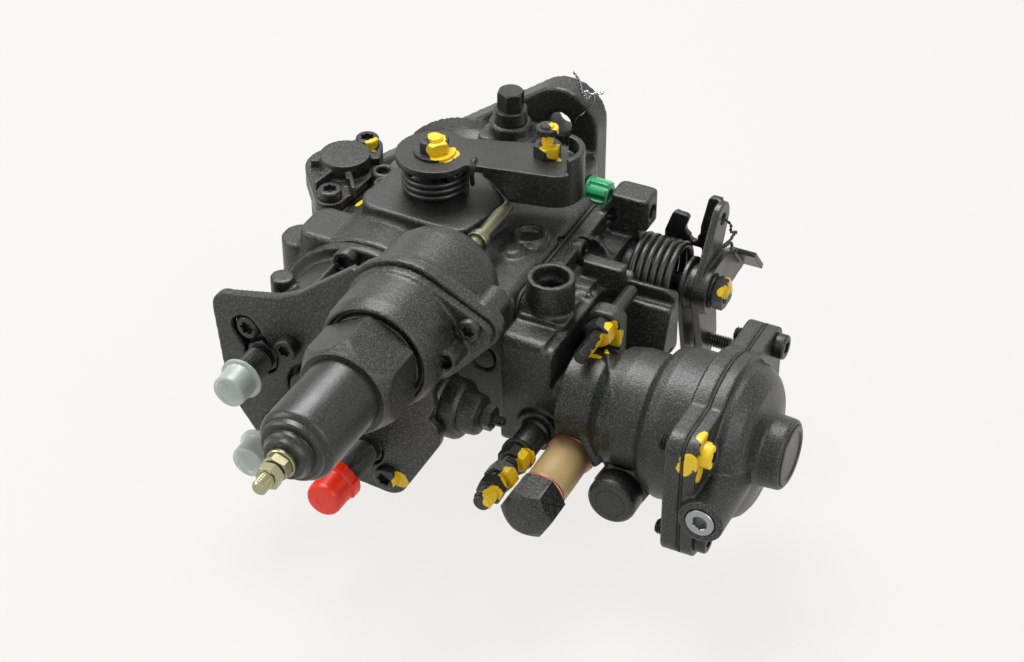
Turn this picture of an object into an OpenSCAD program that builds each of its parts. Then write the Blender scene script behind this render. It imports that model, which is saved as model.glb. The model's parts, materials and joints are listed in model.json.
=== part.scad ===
// Rotary distributor diesel injection pump, lying on its side as photographed.
// Frame: +Y along the drive shaft towards the engine, +X towards the governor cover,
// +Z up, origin at the centre of the drive-flange face.

/* [Drive flange] */
// Thickness of the three-lobed mounting flange
flange_t = 12; // [9:0.5:15]
// Radius of the two large flange lobes
lobe_r = 17; // [14:0.5:20]
// Diameter of the flange bolt holes
flange_hole_d = 10.5; // [8.5:0.5:12]
// Diameter of the centring spigot
spigot_d = 50; // [46:1:56]
// Height of the centring spigot
spigot_h = 7; // [4:0.5:9]

/* [Drive shaft] */
// Diameter of the drive shaft in its bush
shaft_d = 20; // [17:0.5:22]
// Length of the taper outside the flange
taper_len = 24; // [20:1:30]
// Diameter of the shaft's end thread
shaft_thread_d = 14; // [12:1:14]
// Length of the shaft's end thread
shaft_thread_len = 18; // [14:1:24]

/* [Housing] */
// Length from the flange face to the distributor-head joint
housing_len = 112; // [108:0.5:118]
// Outer radius of the housing barrel
barrel_r = 40; // [39:0.5:43]
// Radius of the main bore
bore_r = 31; // [30.75:0.25:31.5]
// Distance from the shaft axis to the governor-cover joint
joint_x = 65; // [63:0.5:68]
// Half width of the housing at the cover joint
joint_half_w = 34; // [32:0.5:37]
// Half width of the governor chamber
chamber_half_w = joint_half_w - 9;
// Height of the pad that carries the cold-start lever
lever_pad_z = 45; // [42:0.5:47]

/* [Timing device] */
// Radius of the timing piston
timing_piston_r = 9; // [8:0.25:9.25]
// Outer radius of the timing cylinder
timing_outer_r = 14.5; // [13.5:0.5:15]
// Half length of the timing cylinder
timing_half_len = 30; // [29:0.5:34]
// Thickness of the timing covers
timing_cover_t = 4; // [3.5:0.5:5]

/* [Distributor head] */
// Length of the head behind the housing
head_len = 44; // [42:0.5:48]
// Radius of the head body
head_r = 34; // [32:0.5:35]
head_rim_r = 39.5; // [38:0.5:42]
// Radius of the circle through the delivery outlets
outlet_circle_r = 27; // [26:0.25:28]
// Diameter of the delivery outlets' union thread
outlet_d = 12; // [11:0.5:13]
// Length of a delivery outlet behind the bracket plate
outlet_len = 22; // [18:1:26]
// Diameter of the pumping plunger
plunger_d = 11; // [9:0.5:12]
// Thickness of the bracket plate
plate_t = 4; // [3:0.5:5]

/* [Cold-start device] */
// Distance of the cold-start actuator's axis from the shaft axis along X
wax_x = 43; // [42:0.5:45]
// Distance of the cold-start actuator's axis from the shaft axis along Z
wax_z = 47; // [46:0.5:49]
// Radius of the actuator housing
wax_r = 24; // [22:0.5:25]
// Length of the domed housing in front of the bracket plate
dome_len = 38; // [34:1:38]
// Length of the front body behind the bracket plate
wax_body_len = 26; // [22:1:28]
// Width across the flats of the large hex nut
wax_hex_af = 36; // [35:1:38]
// Length of the large hex nut
wax_hex_len = 15; // [13:1:18]
// Radius of the wax element
wax_tube_r = 15; // [14:0.5:16]
// Length of the wax element outside the nut
wax_tube_len = 47; // [42:1:50]
// Diameter of the push rod
rod_d = 6; // [5:0.5:7]
// Height of the cold-start lever's plate
lever_z = 60; // [59:0.5:63]
// Thickness of the lever plates
lever_t = 3; // [2:0.5:4]

/* [Governor cover] */
// Thickness of the cover's joint flange
cover_flange_t = 7; // [6:0.5:9]
// Distance from the shaft axis to the cover's outer face
cover_top_x = 97; // [94:0.5:100]
// Wall of the cover
cover_wall = 6; // [5:0.5:7]
// Thickness of the gasket between housing and cover
gasket_t = 1; // [0.6:0.2:1.6]
// Radius of the threaded port that opens upwards
port_r = 6; // [5:0.25:6.5]

/* [Boost unit] */
// Radius of the boost unit's round body
boost_r = 34; // [32:0.5:36]
// Half distance between the boost screws along Y
boost_screw_y = 37; // [36:0.5:39]
// Half distance between the boost screws along Z
boost_screw_z = 20.5; // [19:0.5:22]
// Distance from the shaft axis to the diaphragm joint
boost_joint_x = 155.5; // [153:0.5:158]
// Thickness of the lower flange
boost_flange_t = 7; // [6:0.5:8]
// Thickness of the cover flange
boost_cover_t = 5; // [4:0.5:6]
// Height of the conical cover above its flange
boost_cone_h = 13; // [11:0.5:15]
// Height of the central boss above the cone
boost_boss_h = 8.5; // [7:0.5:10]
// Radius of the central boss
boost_boss_r = 14; // [12.5:0.5:14.5]

/* [Throttle lever] */
// Distance of the lever's plate from the shaft axis
throttle_x = 116; // [115:0.5:119]
// Diameter of the throttle shaft
throttle_shaft_d = 10; // [9:0.5:12]
// Radius of the torsion spring
throttle_spring_r = 15.5; // [14:0.5:16]
// Wire of the torsion springs
spring_wire_d = 2.6; // [2:0.1:3]

/* [Fasteners and plugs] */
// Thread diameter of the adjusting screws
adjust_d = 8; // [6:0.5:8]
// Thread diameter of the cover screws
screw_d = 6; // [5:0.5:6]
// Width across the flats of the overflow bolt
overflow_af = 19; // [17:1:22]
// Radius of the shut-off solenoid's base
solenoid_r = 13.4; // [12.4:0.2:13.6]
// Length of the shut-off solenoid outside the head
solenoid_len = 36; // [34:1:40]

/* [Fits] */
// Clearance of a fit, on the radius
fit = 0.05; // [0.02:0.01:0.08]
// Clearance between pieces that pass each other
air = 0.5; // [0.4:0.1:0.8]

/* [Hidden] */
$fn = 64;
black = [0.16, 0.16, 0.165];
black_plate = [0.19, 0.19, 0.195];
steel = [0.62, 0.63, 0.65];
zinc = [0.72, 0.64, 0.42];

head_y = -housing_len;
plate_y = head_y - head_len;
plate_face_y = plate_y - plate_t;
flange_lobes = [[-46, -8, 15], [37, -50, lobe_r], [37, 50, lobe_r]];
neck_r = 43;
neck_len = 10;
bush_r = shaft_d / 2 + 2.5;
seal_r = 16;
bush_y = -18;
seal_y = -1;
screw_r = screw_d / 2;

// Drive train places along the shaft
vane_y = -35;
vane_t = 12;
gear_y = -48;
gear_t = 8;
shaft_gear_teeth = 38;
carrier_gear_teeth = 30;
gear_module = 1.5;
governor_x = (shaft_gear_teeth + carrier_gear_teeth) * gear_module / 2;
carrier_r = 16;
carrier_len = 26;
sleeve_len = 16;
ring_y = -52;
ring_t = 12;
ring_in_r = 18;
roller_r = 4;
roller_circle_r = 24.5;
cam_y = ring_y - ring_t - 4;
cam_t = 8;
cam_r = 29;
foot_y = cam_y - cam_t;

// Timing device, across the shaft under the roller ring
timing_x = -(barrel_r + 1.5);
timing_y = ring_y - ring_t / 2;
timing_piston_half = 20;
pin_r = 4;
timing_screw_at = [[timing_x + 1, timing_y + 19], [timing_x + 6.5, timing_y - 23]];
timing_cap_at = [timing_x + 1.5, timing_y - 1];
timing_face_z = timing_half_len;
// Inner corner of the timing covers, clear of the barrel where it rises past the joint
timing_inner_x = min(timing_x + 0.3, -norm_rest(barrel_r, timing_half_len) - timing_outer_r - 0.2);
timing_cap_z = timing_face_z + timing_cover_t + 7;

// Cold-start lever
pivot = [9.5, -72];
pivot_hole_r = 5;
stop_at = [51, -54];
lever_arm = [[pivot[0] + 12, pivot[1] + 6, 10], [56, -57, 12]];
rod_end_y = -72.8;
dome_y = plate_y + dome_len;
dome_nose_len = 8;
dome_nose_r = 8;

// Rear bracket plate
plate_tail = [[-36, 27, 8], [-31, -11, 9], [-20, -27, 9], [32, -32, 9], [47, -6, 9]];
plate_rim_r = wax_r + 3;
plate_lug = [74, 53];
plate_boss = [72, 56];
plate_screw_at = [[-29, 20], [32, -32]];
raised_screw_at = [-9, 19];
head_plug_r = 9.5;

// Lock bolt, inlet and upper pads
lock_at = [23, -30];
lock_pad_z = 52.5;
inlet_y = -26;
inlet_z = 30;
inlet_x = 57;
inlet_r = 5.5;

// Governor cover
cover_y0 = head_y - 16;
cover_y1 = -34;
cover_half_w = chamber_half_w + 1;
shelf_y = cover_y1 - 42;
fence_y = shelf_y + 4;
cover_x0 = joint_x + gasket_t;
cover_sink = cover_flange_t - 4;
port_at = [76, head_y + 9];
port_top_z = 42;
throttle_y = -45;
throttle_z = 12;
throttle_boss_x = 84;
throttle_eye = [throttle_y + 14.5, throttle_z + 25.5];
throttle_foot = [throttle_y + 7, throttle_z - 30];
retainer_x = throttle_x - 5.5;
speed_x = 99;
speed_y = cover_y0 + 24;
speed_z = 25;
full_load_x = 83;
full_load_z = -13;
overflow_x = 98.5;
overflow_z = -18.3;
overflow_root_y = cover_y0;
cover_screw_z = joint_half_w - 4.5;
cover_screw_at = [[shelf_y + 10, cover_screw_z], [shelf_y - 12, cover_screw_z],
    [cover_y1 - 8, -cover_screw_z], [head_y + 8, -cover_screw_z]];

// Boost unit
boost_y = head_y - 4;
boost_flange_x = boost_joint_x - boost_flange_t;
diaphragm_t = 1;
boost_cover_x = boost_joint_x + diaphragm_t;
boost_cone_x = boost_cover_x + boost_cover_t;
boost_boss_x = boost_cone_x + boost_cone_h;
boost_top_x = boost_boss_x + boost_boss_h;
boost_pin_r = 5;
boost_pocket_r = 27;
boost_travel = 4;
boost_port_x = boost_cover_x + 9.2;
boost_port_z = -2.7;
boost_port_y = boost_y - boost_screw_y - 11;
boost_screw_at = [for (s = [[1, 1], [-1, 1], [-1, -1], [1, -1]])
    [boost_y + s[0] * boost_screw_y, s[1] * boost_screw_z]];
side_x = 122.4;
side_z = -22.7;
side_y = cover_y0 - 4;

// Solenoid
solenoid_y = head_y - 30;
solenoid_z = -3;
solenoid_x = 39;

// Delivery outlets [x, z, extra length]
function outlets() = [[-23, 8, 0], [-17, -25, 0], [outlet_circle_r * 0.85, -22, 9],
    [outlet_circle_r * 0.7, 18, 0]];

// Other short side of a right triangle with long side a and short side b
function norm_rest(a, b) = sqrt(a * a - b * b);

// Direction, in degrees, of the outward normal of the line that touches two round corners
function touch_angle(p, q) = let (d = [q[0] - p[0], q[1] - p[1]])
    atan2(d[1], d[0]) - 90 + asin((p[2] - q[2]) / norm(d));

// Outline that wraps round corners [x, y, radius] listed anticlockwise
function wrap(c) = [for (i = [0:len(c) - 1])
    let (here = c[i], a0 = touch_angle(c[(i + len(c) - 1) % len(c)], here),
        turn = (touch_angle(here, c[(i + 1) % len(c)]) - a0 + 720) % 360, n = ceil(turn / 12) + 1)
    for (k = [0:n]) let (a = a0 + turn * k / n) [here[0] + here[2] * cos(a), here[1] + here[2] * sin(a)]];

// Rectangle from corner p to corner q with rounded corners
function soft_box(p, q, r) = wrap([[p[0] + r, p[1] + r, r], [q[0] - r, p[1] + r, r],
    [q[0] - r, q[1] - r, r], [p[0] + r, q[1] - r, r]]);

// Profile in X and Z, carried along Y
module slab_y(y0, y1) {
    translate([0, y1, 0]) rotate([90, 0, 0]) linear_extrude(y1 - y0) children();
}

// Profile in Y and Z, carried along X
module slab_x(x0, x1) {
    translate([x0, 0, 0]) rotate([90, 0, 90]) linear_extrude(x1 - x0) children();
}

// Profile in X and Y, carried along Z
module slab_z(z0, z1) {
    translate([0, 0, z0]) linear_extrude(z1 - z0) children();
}

module disc_y(x, z, y0, y1, r) {
    translate([x, y0, z]) rotate([-90, 0, 0]) cylinder(r = r, h = y1 - y0);
}

module disc_x(y, z, x0, x1, r) {
    translate([x0, y, z]) rotate([0, 90, 0]) cylinder(r = r, h = x1 - x0);
}

module disc_z(x, y, z0, z1, r) {
    translate([x, y, z0]) cylinder(r = r, h = z1 - z0);
}

// Turned shape about an axis along Y; the profile's points are [radius, y]
module turn_y(x, z) {
    translate([x, 0, z]) rotate([-90, 0, 0]) rotate_extrude() children();
}

// Turned shape about an axis along X; the profile's points are [radius, x]
module turn_x(y, z) {
    translate([0, y, z]) rotate([0, 90, 0]) rotate_extrude() children();
}

module hex_y(x, z, y0, y1, af, spin = 30) {
    translate([x, y0, z]) rotate([-90, spin, 0]) cylinder(d = af / cos(30), h = y1 - y0, $fn = 6);
}

module hex_x(y, z, x0, x1, af) {
    translate([x0, y, z]) rotate([0, 90, 0]) cylinder(d = af / cos(30), h = x1 - x0, $fn = 6);
}

module hex_z(x, y, z0, z1, af) {
    translate([x, y, z0]) cylinder(d = af / cos(30), h = z1 - z0, $fn = 6);
}

module tube_y(x, z, y0, y1, r, hole) {
    difference() {
        disc_y(x, z, y0, y1, r);
        disc_y(x, z, y0 - 1, y1 + 1, hole);
    }
}

// Coil spring as one wire swept along Z
module coil(r, wire, turns, length) {
    steps = turns * 20;
    sides = 8;
    points = [for (i = [0:steps], k = [0:sides - 1])
        let (a = 360 * i / 20, b = 360 * k / sides, reach = r + wire / 2 * cos(b))
        [reach * cos(a), reach * sin(a),
            wire / 2 + (length - wire) * i / steps + wire / 2 * sin(b)]];
    faces = concat([[for (k = [sides - 1:-1:0]) k], [for (k = [0:sides - 1]) steps * sides + k]],
        [for (i = [0:steps - 1], k = [0:sides - 1], half = [0, 1])
            let (a = i * sides, b = a + sides, n = (k + 1) % sides)
            half == 0 ? [a + k, b + n, b + k] : [a + k, a + n, b + n]]);
    polyhedron(points, faces);
}

module pump_housing() {
    color(black) difference() {
        union() {
            slab_y(-flange_t, 0) polygon(wrap(flange_lobes));
            disc_y(0, 0, -flange_t, spigot_h, spigot_d / 2);
            turn_y(0, 0) polygon([[0, -flange_t], [neck_r, -flange_t], [neck_r - 4, -flange_t - 3],
                [barrel_r - 4, -flange_t - neck_len], [barrel_r, -flange_t - neck_len - 6],
                [barrel_r, head_y], [0, head_y]]);
            slab_y(head_y, cover_y1) polygon(wrap([[0, -joint_half_w + 6, 6],
                [joint_x - 6, -joint_half_w + 6, 6], [joint_x - 6, joint_half_w - 6, 6],
                [0, joint_half_w - 6, 6]]));
            // Block that carries the fuel inlet
            slab_z(0, inlet_z + 10) polygon(soft_box([8, cover_y1 - 4], [inlet_x, -flange_t - 1], 5));
            // Timing cylinder and the wall that joins it to the barrel
            disc_z(timing_x, timing_y, -timing_face_z, timing_face_z, timing_outer_r);
            slab_z(-timing_face_z + 8, timing_face_z - 8)
                polygon(soft_box([timing_x, timing_y - timing_outer_r],
                    [0, timing_y + timing_outer_r], 4));
            for (side = [-1, 1]) translate([0, 0, side * (timing_face_z - 3)])
                slab_z(-3, 3) polygon(timing_flange());
            // Pads on the upper side
            slab_z(0, lever_pad_z) polygon(wrap([[pivot[0] - 16, pivot[1] - 14, 9],
                [pivot[0] + 18, pivot[1] - 16, 8], [pivot[0] + 24, pivot[1] + 2, 6],
                [pivot[0] + 6, pivot[1] + 18, 6], [pivot[0] - 16, pivot[1] + 12, 6]]));
            slab_z(0, 36) polygon(soft_box([-34, head_y], [24, head_y + 22], 6));
            disc_z(-36, head_y + 9, 0, 28, 8.5);
            slab_z(0, lock_pad_z) polygon(soft_box([lock_at[0] - 12, lock_at[1] - 9],
                [lock_at[0] + 12, lock_at[1] + 12], 3));
            disc_z(lock_at[0], lock_at[1], 0, lock_pad_z + 6, 9);
            disc_z(-14, -72, 0, 42, 4.6);
            disc_z(52, -72, 0, 36.5, 7);
            disc_z(50, -84, 0, 36, 4.8);
        }
        // Main bore, seal and bush seats
        disc_y(0, 0, head_y - 1, bush_y - 2, bore_r);
        disc_y(0, 0, bush_y - 3, spigot_h + 1, bush_r);
        disc_y(0, 0, seal_y, spigot_h + 1, seal_r);
        // Governor chamber, open at the cover joint
        slab_x(0, joint_x + 1) chamber_outline();
        disc_y(governor_x, 0, head_y - 1, cover_y1 + 1, 5);
        // Timing bore and the window for the roller-ring pin
        disc_z(timing_x, timing_y, -timing_face_z - 1, timing_face_z + 1, timing_piston_r + fit);
        translate([timing_x, timing_y - pin_r - 1.5, -12])
            cube([-timing_x - bore_r + 5, 2 * pin_r + 3, 24]);
        for (p = timing_screw_at, side = [-1, 1])
            translate([p[0], p[1], side * (timing_face_z - 6)])
                cylinder(r = screw_r + fit, h = 14, center = true);
        for (p = flange_lobes)
            disc_y(p[0], p[1], -flange_t - 1, 1, flange_hole_d / 2);
        disc_z(lock_at[0], lock_at[1], shaft_d / 2, lock_pad_z + 7, 5 + fit);
        disc_x(inlet_y, inlet_z, inlet_x - 14, inlet_x + 1, inlet_r + fit);
        disc_z(pivot[0], pivot[1], lever_pad_z - 9, lever_pad_z + 1, pivot_hole_r + fit);
        for (p = cover_screw_at)
            disc_x(p[0], p[1], joint_x - 12, joint_x + 1, screw_r + fit);
        disc_z(-14, -72, 32, 43, 2.6);
        disc_z(52, -72, 33.5, 37, 5.2);
        for (p = head_screw_at())
            disc_y(p[0], p[1], head_y - 1, head_y + 10, screw_r + fit);
    }
}

function timing_flange() = wrap([[timing_screw_at[1][0], timing_screw_at[1][1], 6.5],
    [timing_inner_x, timing_y, timing_outer_r], [timing_screw_at[0][0], timing_screw_at[0][1], 6.5],
    [timing_x - 2, timing_y, timing_outer_r]]);

function head_screw_at() = [for (a = [100, 180, 260, 350]) (bore_r + 4.2) * [cos(a), sin(a)]];

function boost_flange() = wrap([for (i = [0, 1, 2, 3])
    let (p = boost_screw_at[[2, 3, 0, 1][i]]) [p[0], p[1], 7.2]]);

module cover_joint_outline() {
    polygon(soft_box([head_y, -joint_half_w], [cover_y1, joint_half_w], 6));
}

module chamber_outline() {
    polygon(soft_box([head_y + 8, -chamber_half_w], [cover_y1 - 5, chamber_half_w], 1.5));
}

module cover_gasket() {
    color([0.25, 0.24, 0.22]) slab_x(joint_x, cover_x0) difference() {
        cover_joint_outline();
        chamber_outline();
        for (p = cover_screw_at) translate(p) circle(r = screw_r + fit);
    }
}

module governor_cover() {
    color(black) difference() {
        union() {
            slab_x(cover_x0, cover_x0 + cover_flange_t) cover_joint_outline();
            slab_x(cover_x0, throttle_boss_x)
                polygon(soft_box([cover_y0, -cover_half_w], [cover_y1 - 3, cover_half_w], 5));
            slab_x(cover_x0, cover_top_x)
                polygon(soft_box([cover_y0, -cover_half_w], [shelf_y, 9], 5));
            slab_x(cover_x0, cover_top_x - 9)
                polygon(soft_box([cover_y0, -cover_half_w], [shelf_y, cover_half_w - 2], 5));
            // Bell that carries the boost unit
            turn_x(boost_y, 0) polygon([[0, cover_top_x - 4], [20, cover_top_x - 4],
                [19, cover_top_x + 10], [23.5, cover_top_x + 15], [25, cover_top_x + 22],
                [24.5, cover_top_x + 32], [29, cover_top_x + 35], [30.5, cover_top_x + 40],
                [30, boost_flange_x], [0, boost_flange_x]]);
            slab_x(boost_flange_x, boost_joint_x) boost_outline();
            // Ported boss, lower block, throttle boss and stop-screw lug
            disc_z(port_at[0], port_at[1], 0, port_top_z, port_r + 3.6);
            slab_z(-22, 28) polygon(soft_box([cover_x0, cover_y0 + 14], [87, head_y + 10], 3));
            disc_x(throttle_y, throttle_z, cover_x0, throttle_boss_x + 4, 11);
            slab_y(speed_y, speed_y + 8) polygon(soft_box([speed_x - 7, 0], [speed_x + 7, speed_z + 7], 5));
            slab_y(fence_y, fence_y + 5) polygon(soft_box([78, -6], [116, 26], 5));
            slab_x(80, 116) polygon([[shelf_y - 8, 0], [shelf_y + 6, 0], [shelf_y + 6, 20], [shelf_y, 20]]);
            // Blocks on the upper side
            slab_z(cover_half_w - 6, joint_half_w - 0.7) polygon(soft_box([77, shelf_y - 1], [95, shelf_y + 13.2], 2));
            slab_z(cover_half_w - 8, joint_half_w + 10) polygon(soft_box([74, -43], [86.5, -30], 2.5));
            slab_z(joint_half_w - 4.4, joint_half_w + 10) polygon(soft_box([78, -43], [90.5, -30], 2.5));
            slab_y(-42.5, -30.5) polygon([[68, 20], [68, joint_half_w - 2], [76, joint_half_w + 9],
                    [80, joint_half_w + 9], [80, 20]]);
            slab_y(-62, -58) polygon([[70, 10], [87, 10], [87, cover_half_w - 4],
                    [76, joint_half_w], [70, joint_half_w - 4]]);
            // Bosses on the rear face
            disc_y(full_load_x, full_load_z, cover_y0 - 3, cover_y0 + 8, 9);
            disc_y(overflow_x, overflow_z, cover_y0 - 3, cover_y0 + 28, 10);
            disc_y(side_x, side_z, side_y, boost_y - 3, 10);
        }
        // Chamber under the cover
        slab_x(cover_x0 - 1, throttle_boss_x - cover_wall) chamber_outline();
        slab_x(cover_x0 - 1, cover_top_x - cover_wall)
            polygon(soft_box([cover_y0 + 24, -18], [shelf_y - 8, 16], 4));
        for (p = cover_screw_at) {
            disc_x(p[0], p[1], cover_x0 - 1, cover_top_x + 30, screw_r + fit);
            disc_x(p[0], p[1], cover_x0 + cover_sink, cover_top_x + 30, screw_r + 2.6);
        }
        disc_x(throttle_y, throttle_z, cover_x0, throttle_boss_x + 5, throttle_shaft_d / 2 - 1 + fit);
        disc_z(port_at[0], port_at[1], 20, port_top_z + 1, port_r);
        disc_z(port_at[0], port_at[1], port_top_z - 6, port_top_z + 1, port_r + 1);
        disc_y(speed_x, speed_z, speed_y - 1, speed_y + 9, adjust_d / 2 - 1 + fit);
        disc_y(full_load_x, full_load_z, cover_y0 - 4, cover_y0 + 25, adjust_d / 2 + fit);
        disc_y(overflow_x, overflow_z, cover_y0 - 4, cover_y0 + 16, 6 + fit);
        disc_y(side_x, side_z, side_y - 1, side_y + 10, 6 + fit);
        disc_y(side_x, side_z, side_y - 20, side_y, 12.6);
        disc_y(overflow_x, overflow_z, cover_y0 - 30, cover_y0 - 3, 10.2);
        // Pin bore and spring pocket of the boost unit
        disc_x(boost_y, 0, cover_top_x - cover_wall - boost_travel - 1, boost_joint_x + 1,
            boost_pin_r + fit);
        disc_x(boost_y, 0, boost_joint_x - 17, boost_joint_x + 1, boost_pocket_r);
        for (p = boost_screw_at)
            disc_x(p[0], p[1], boost_flange_x - 1, boost_joint_x + 1, screw_r + fit);
        disc_x(-36.5, 36, 82, 93, 3.2);
        slab_y(-44, -39.5) polygon([[71, 30.5], [76.5, 31], [76.5, 39.5]]);
    }
}

module boost_outline() {
    polygon(boost_flange());
    translate([boost_y, 0]) circle(r = boost_r);
}

module screw_x(p, x0, x1, head_r, head_h) {
    disc_x(p[0], p[1], x0, x1, screw_r);
    difference() {
        disc_x(p[0], p[1], x1, x1 + head_h, head_r);
        disc_x(p[0], p[1], x1 + head_h - 2.5, x1 + head_h + 1, head_r * 0.5);
    }
}

module screw_y(p, y0, y1, head_r, head_h) {
    disc_y(p[0], p[1], y0, y1, screw_r);
    difference() {
        disc_y(p[0], p[1], y0 - head_h, y0, head_r);
        disc_y(p[0], p[1], y0 - head_h - 1, y0 - head_h + 2.5, head_r * 0.5);
    }
}

module screw_z(p, z0, z1, head_r, head_h) {
    disc_z(p[0], p[1], z0, z1, screw_r);
    difference() {
        disc_z(p[0], p[1], z1, z1 + head_h, head_r);
        disc_z(p[0], p[1], z1 + head_h - 2.5, z1 + head_h + 1, head_r * 0.5);
    }
}

module cover_screws() {
    color(black_plate) for (p = cover_screw_at)
        screw_x(p, joint_x - 11, cover_x0 + cover_sink, 5, 4.5);
}

module boost_cover() {
    color(black) difference() {
        union() {
            slab_x(boost_cover_x, boost_cone_x) boost_outline();
            turn_x(boost_y, 0) polygon([[0, boost_cone_x - 2], [boost_r - 2, boost_cone_x - 2],
                [boost_r - 3, boost_cone_x + 3.5], [boost_r - 6, boost_cone_x + 8],
                [boost_r - 9, boost_cone_x + 10], [boost_boss_r + 4, boost_boss_x - 1.5],
                [boost_boss_r + 0.5, boost_boss_x],
                [boost_boss_r, boost_top_x - 1], [boost_boss_r - 1, boost_top_x], [0, boost_top_x]]);
            disc_y(boost_port_x, boost_port_z, boost_port_y, boost_y - 18, 9);
        }
        turn_x(boost_y, 0) polygon([[0, boost_cover_x - 1], [boost_pocket_r, boost_cover_x - 1],
            [boost_pocket_r - 1, boost_cone_x + 1], [boost_boss_r, boost_boss_x - 4],
            [8, boost_boss_x - 2], [8, boost_top_x - 4], [0, boost_top_x - 4]]);
        disc_x(boost_y, 0, boost_top_x - 4, boost_top_x + 1, boost_boss_r - 2);
        disc_y(boost_port_x, boost_port_z, boost_port_y - 1, boost_port_y + 9, 5.8);
        disc_y(boost_port_x, boost_port_z, boost_port_y - 1, boost_y - 20, 3);
        for (p = boost_screw_at)
            disc_x(p[0], p[1], boost_cover_x - 1, boost_cone_x + 12, screw_r + fit);
        for (p = boost_screw_at)
            disc_x(p[0], p[1], boost_cone_x, boost_cone_x + 14, screw_r + 2.6);
    }
}

module boost_diaphragm() {
    color([0.1, 0.1, 0.1]) slab_x(boost_joint_x, boost_cover_x) difference() {
        boost_outline();
        translate([boost_y, 0]) circle(r = boost_pocket_r - 3);
        for (p = boost_screw_at) translate(p) circle(r = screw_r + fit);
    }
}

module boost_screws() {
    color(black_plate) for (p = boost_screw_at)
        screw_x(p, boost_flange_x - 4, boost_cone_x, 5, 4.5);
}

module boost_pin() {
    color(steel) {
        disc_x(boost_y, 0, cover_top_x - cover_wall, boost_joint_x - 1, boost_pin_r);
        disc_x(boost_y, 0, boost_joint_x - 1, boost_joint_x + 1, boost_pocket_r - 3 - air);
        disc_x(boost_y, 0, boost_joint_x + 1, boost_joint_x + 4, 9);
    }
}

module boost_spring() {
    color(steel) translate([boost_joint_x - 17, boost_y, 0]) rotate([0, 90, 0])
        coil(14, 2.4, 3, 16 - boost_travel - 0.2);
}

module boost_center_plug() {
    color(black_plate) difference() {
        disc_x(boost_y, 0, boost_top_x - 4, boost_top_x + 0.6, boost_boss_r - 2 - fit);
        disc_x(boost_y, 0, boost_top_x, boost_top_x + 1, boost_boss_r - 4);
    }
}

module boost_port_plug() {
    color(steel) difference() {
        disc_y(boost_port_x, boost_port_z, boost_port_y - 0.4, boost_port_y + 8, 5.8 - fit);
        hex_y(boost_port_x, boost_port_z, boost_port_y - 1, boost_port_y + 3, 5);
    }
}

module boost_side_plug() {
    color(black_plate) {
        disc_y(side_x, side_z, side_y, side_y + 9, 6);
        hex_y(side_x, side_z, side_y - 5, side_y, 20, 0);
        turn_y(side_x, side_z) polygon([[0, side_y - 15], [8.6, side_y - 15], [10, side_y - 13.2],
            [10, side_y - 5], [0, side_y - 5]]);
    }
}

module distributor_head() {
    color(black) difference() {
        union() {
            disc_y(0, 0, head_y - 5, head_y, head_rim_r);
            disc_y(0, 0, plate_y, head_y - 5, head_r);
            disc_y(0, 0, head_y, head_y + 7, bore_r - fit);
            for (p = plate_screw_at)
                slab_y(plate_y, plate_y + 13) polygon(wrap([[p[0], p[1], 7], [0, 0, head_r - 6]]));
            disc_x(solenoid_y, solenoid_z, 20, solenoid_x, solenoid_r - 0.5);
            disc_z(-27, head_y - 22, 0, 30, 5);
        }
        disc_y(0, 0, plate_y - 1, head_y + 8, plunger_d / 2 + fit);
        disc_y(0, 0, plate_y - 1, plate_y + 9, head_plug_r + fit);
        for (p = outlets())
            disc_y(p[0], p[1], plate_y - 1, plate_y + 14, outlet_d / 2 + fit);
        disc_x(solenoid_y, solenoid_z, 24, solenoid_x + 1, 9 + fit);
        for (p = concat(plate_screw_at, [raised_screw_at]))
            disc_y(p[0], p[1], plate_y - 1, plate_y + 10, screw_r + fit);
        for (p = head_screw_at()) {
            disc_y(p[0], p[1], head_y - 6, head_y + 8, screw_r + fit);
            disc_y(p[0], p[1], plate_y - 1, head_y - 5, screw_r + 2.4);
        }
    }
}

module head_screws() {
    color(black_plate) for (p = head_screw_at())
        screw_y(p, head_y - 5, head_y + 9, 5, 5);
}

module delivery_valves() {
    color(black_plate) for (p = outlets()) difference() {
        union() {
            disc_y(p[0], p[1], plate_face_y - outlet_len - p[2], plate_y + 13, outlet_d / 2);
            hex_y(p[0], p[1], plate_y - 3, plate_y, 13);
        }
        turn_y(p[0], p[1]) polygon([[0, plate_face_y - outlet_len - p[2] - 1],
            [4, plate_face_y - outlet_len - p[2] - 1], [1.2, plate_face_y - outlet_len - p[2] + 4],
            [1.2, plate_y + 14], [0, plate_y + 14]]);
    }
}

module cap(p, skirt_r, nose_r, len) {
    root = plate_face_y - outlet_len - p[2] + len - 3;
    inner = outlet_d / 2 + fit;
    turn_y(p[0], p[1]) polygon([[inner, root], [skirt_r, root], [skirt_r, root - 1],
        [nose_r + 1.2, root - 2], [nose_r + 0.6, root - len + 1.5], [nose_r - 0.6, root - len],
        [0, root - len], [0, root - len + 2], [inner, root - len + 2]]);
}

module clear_caps() {
    color([0.85, 0.87, 0.87, 0.6]) for (i = [0, 1]) cap(outlets()[i], 8.8, 6.6, 11);
}

module red_cap() {
    color([0.85, 0.12, 0.08]) cap(outlets()[2], 9, 8, 17);
}

module head_plug() {
    color(black_plate) difference() {
        disc_y(0, 0, plate_face_y - 2, plate_y + 8, head_plug_r);
        hex_y(0, 0, plate_face_y - 3, plate_face_y + 3, 10);
    }
}

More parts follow.
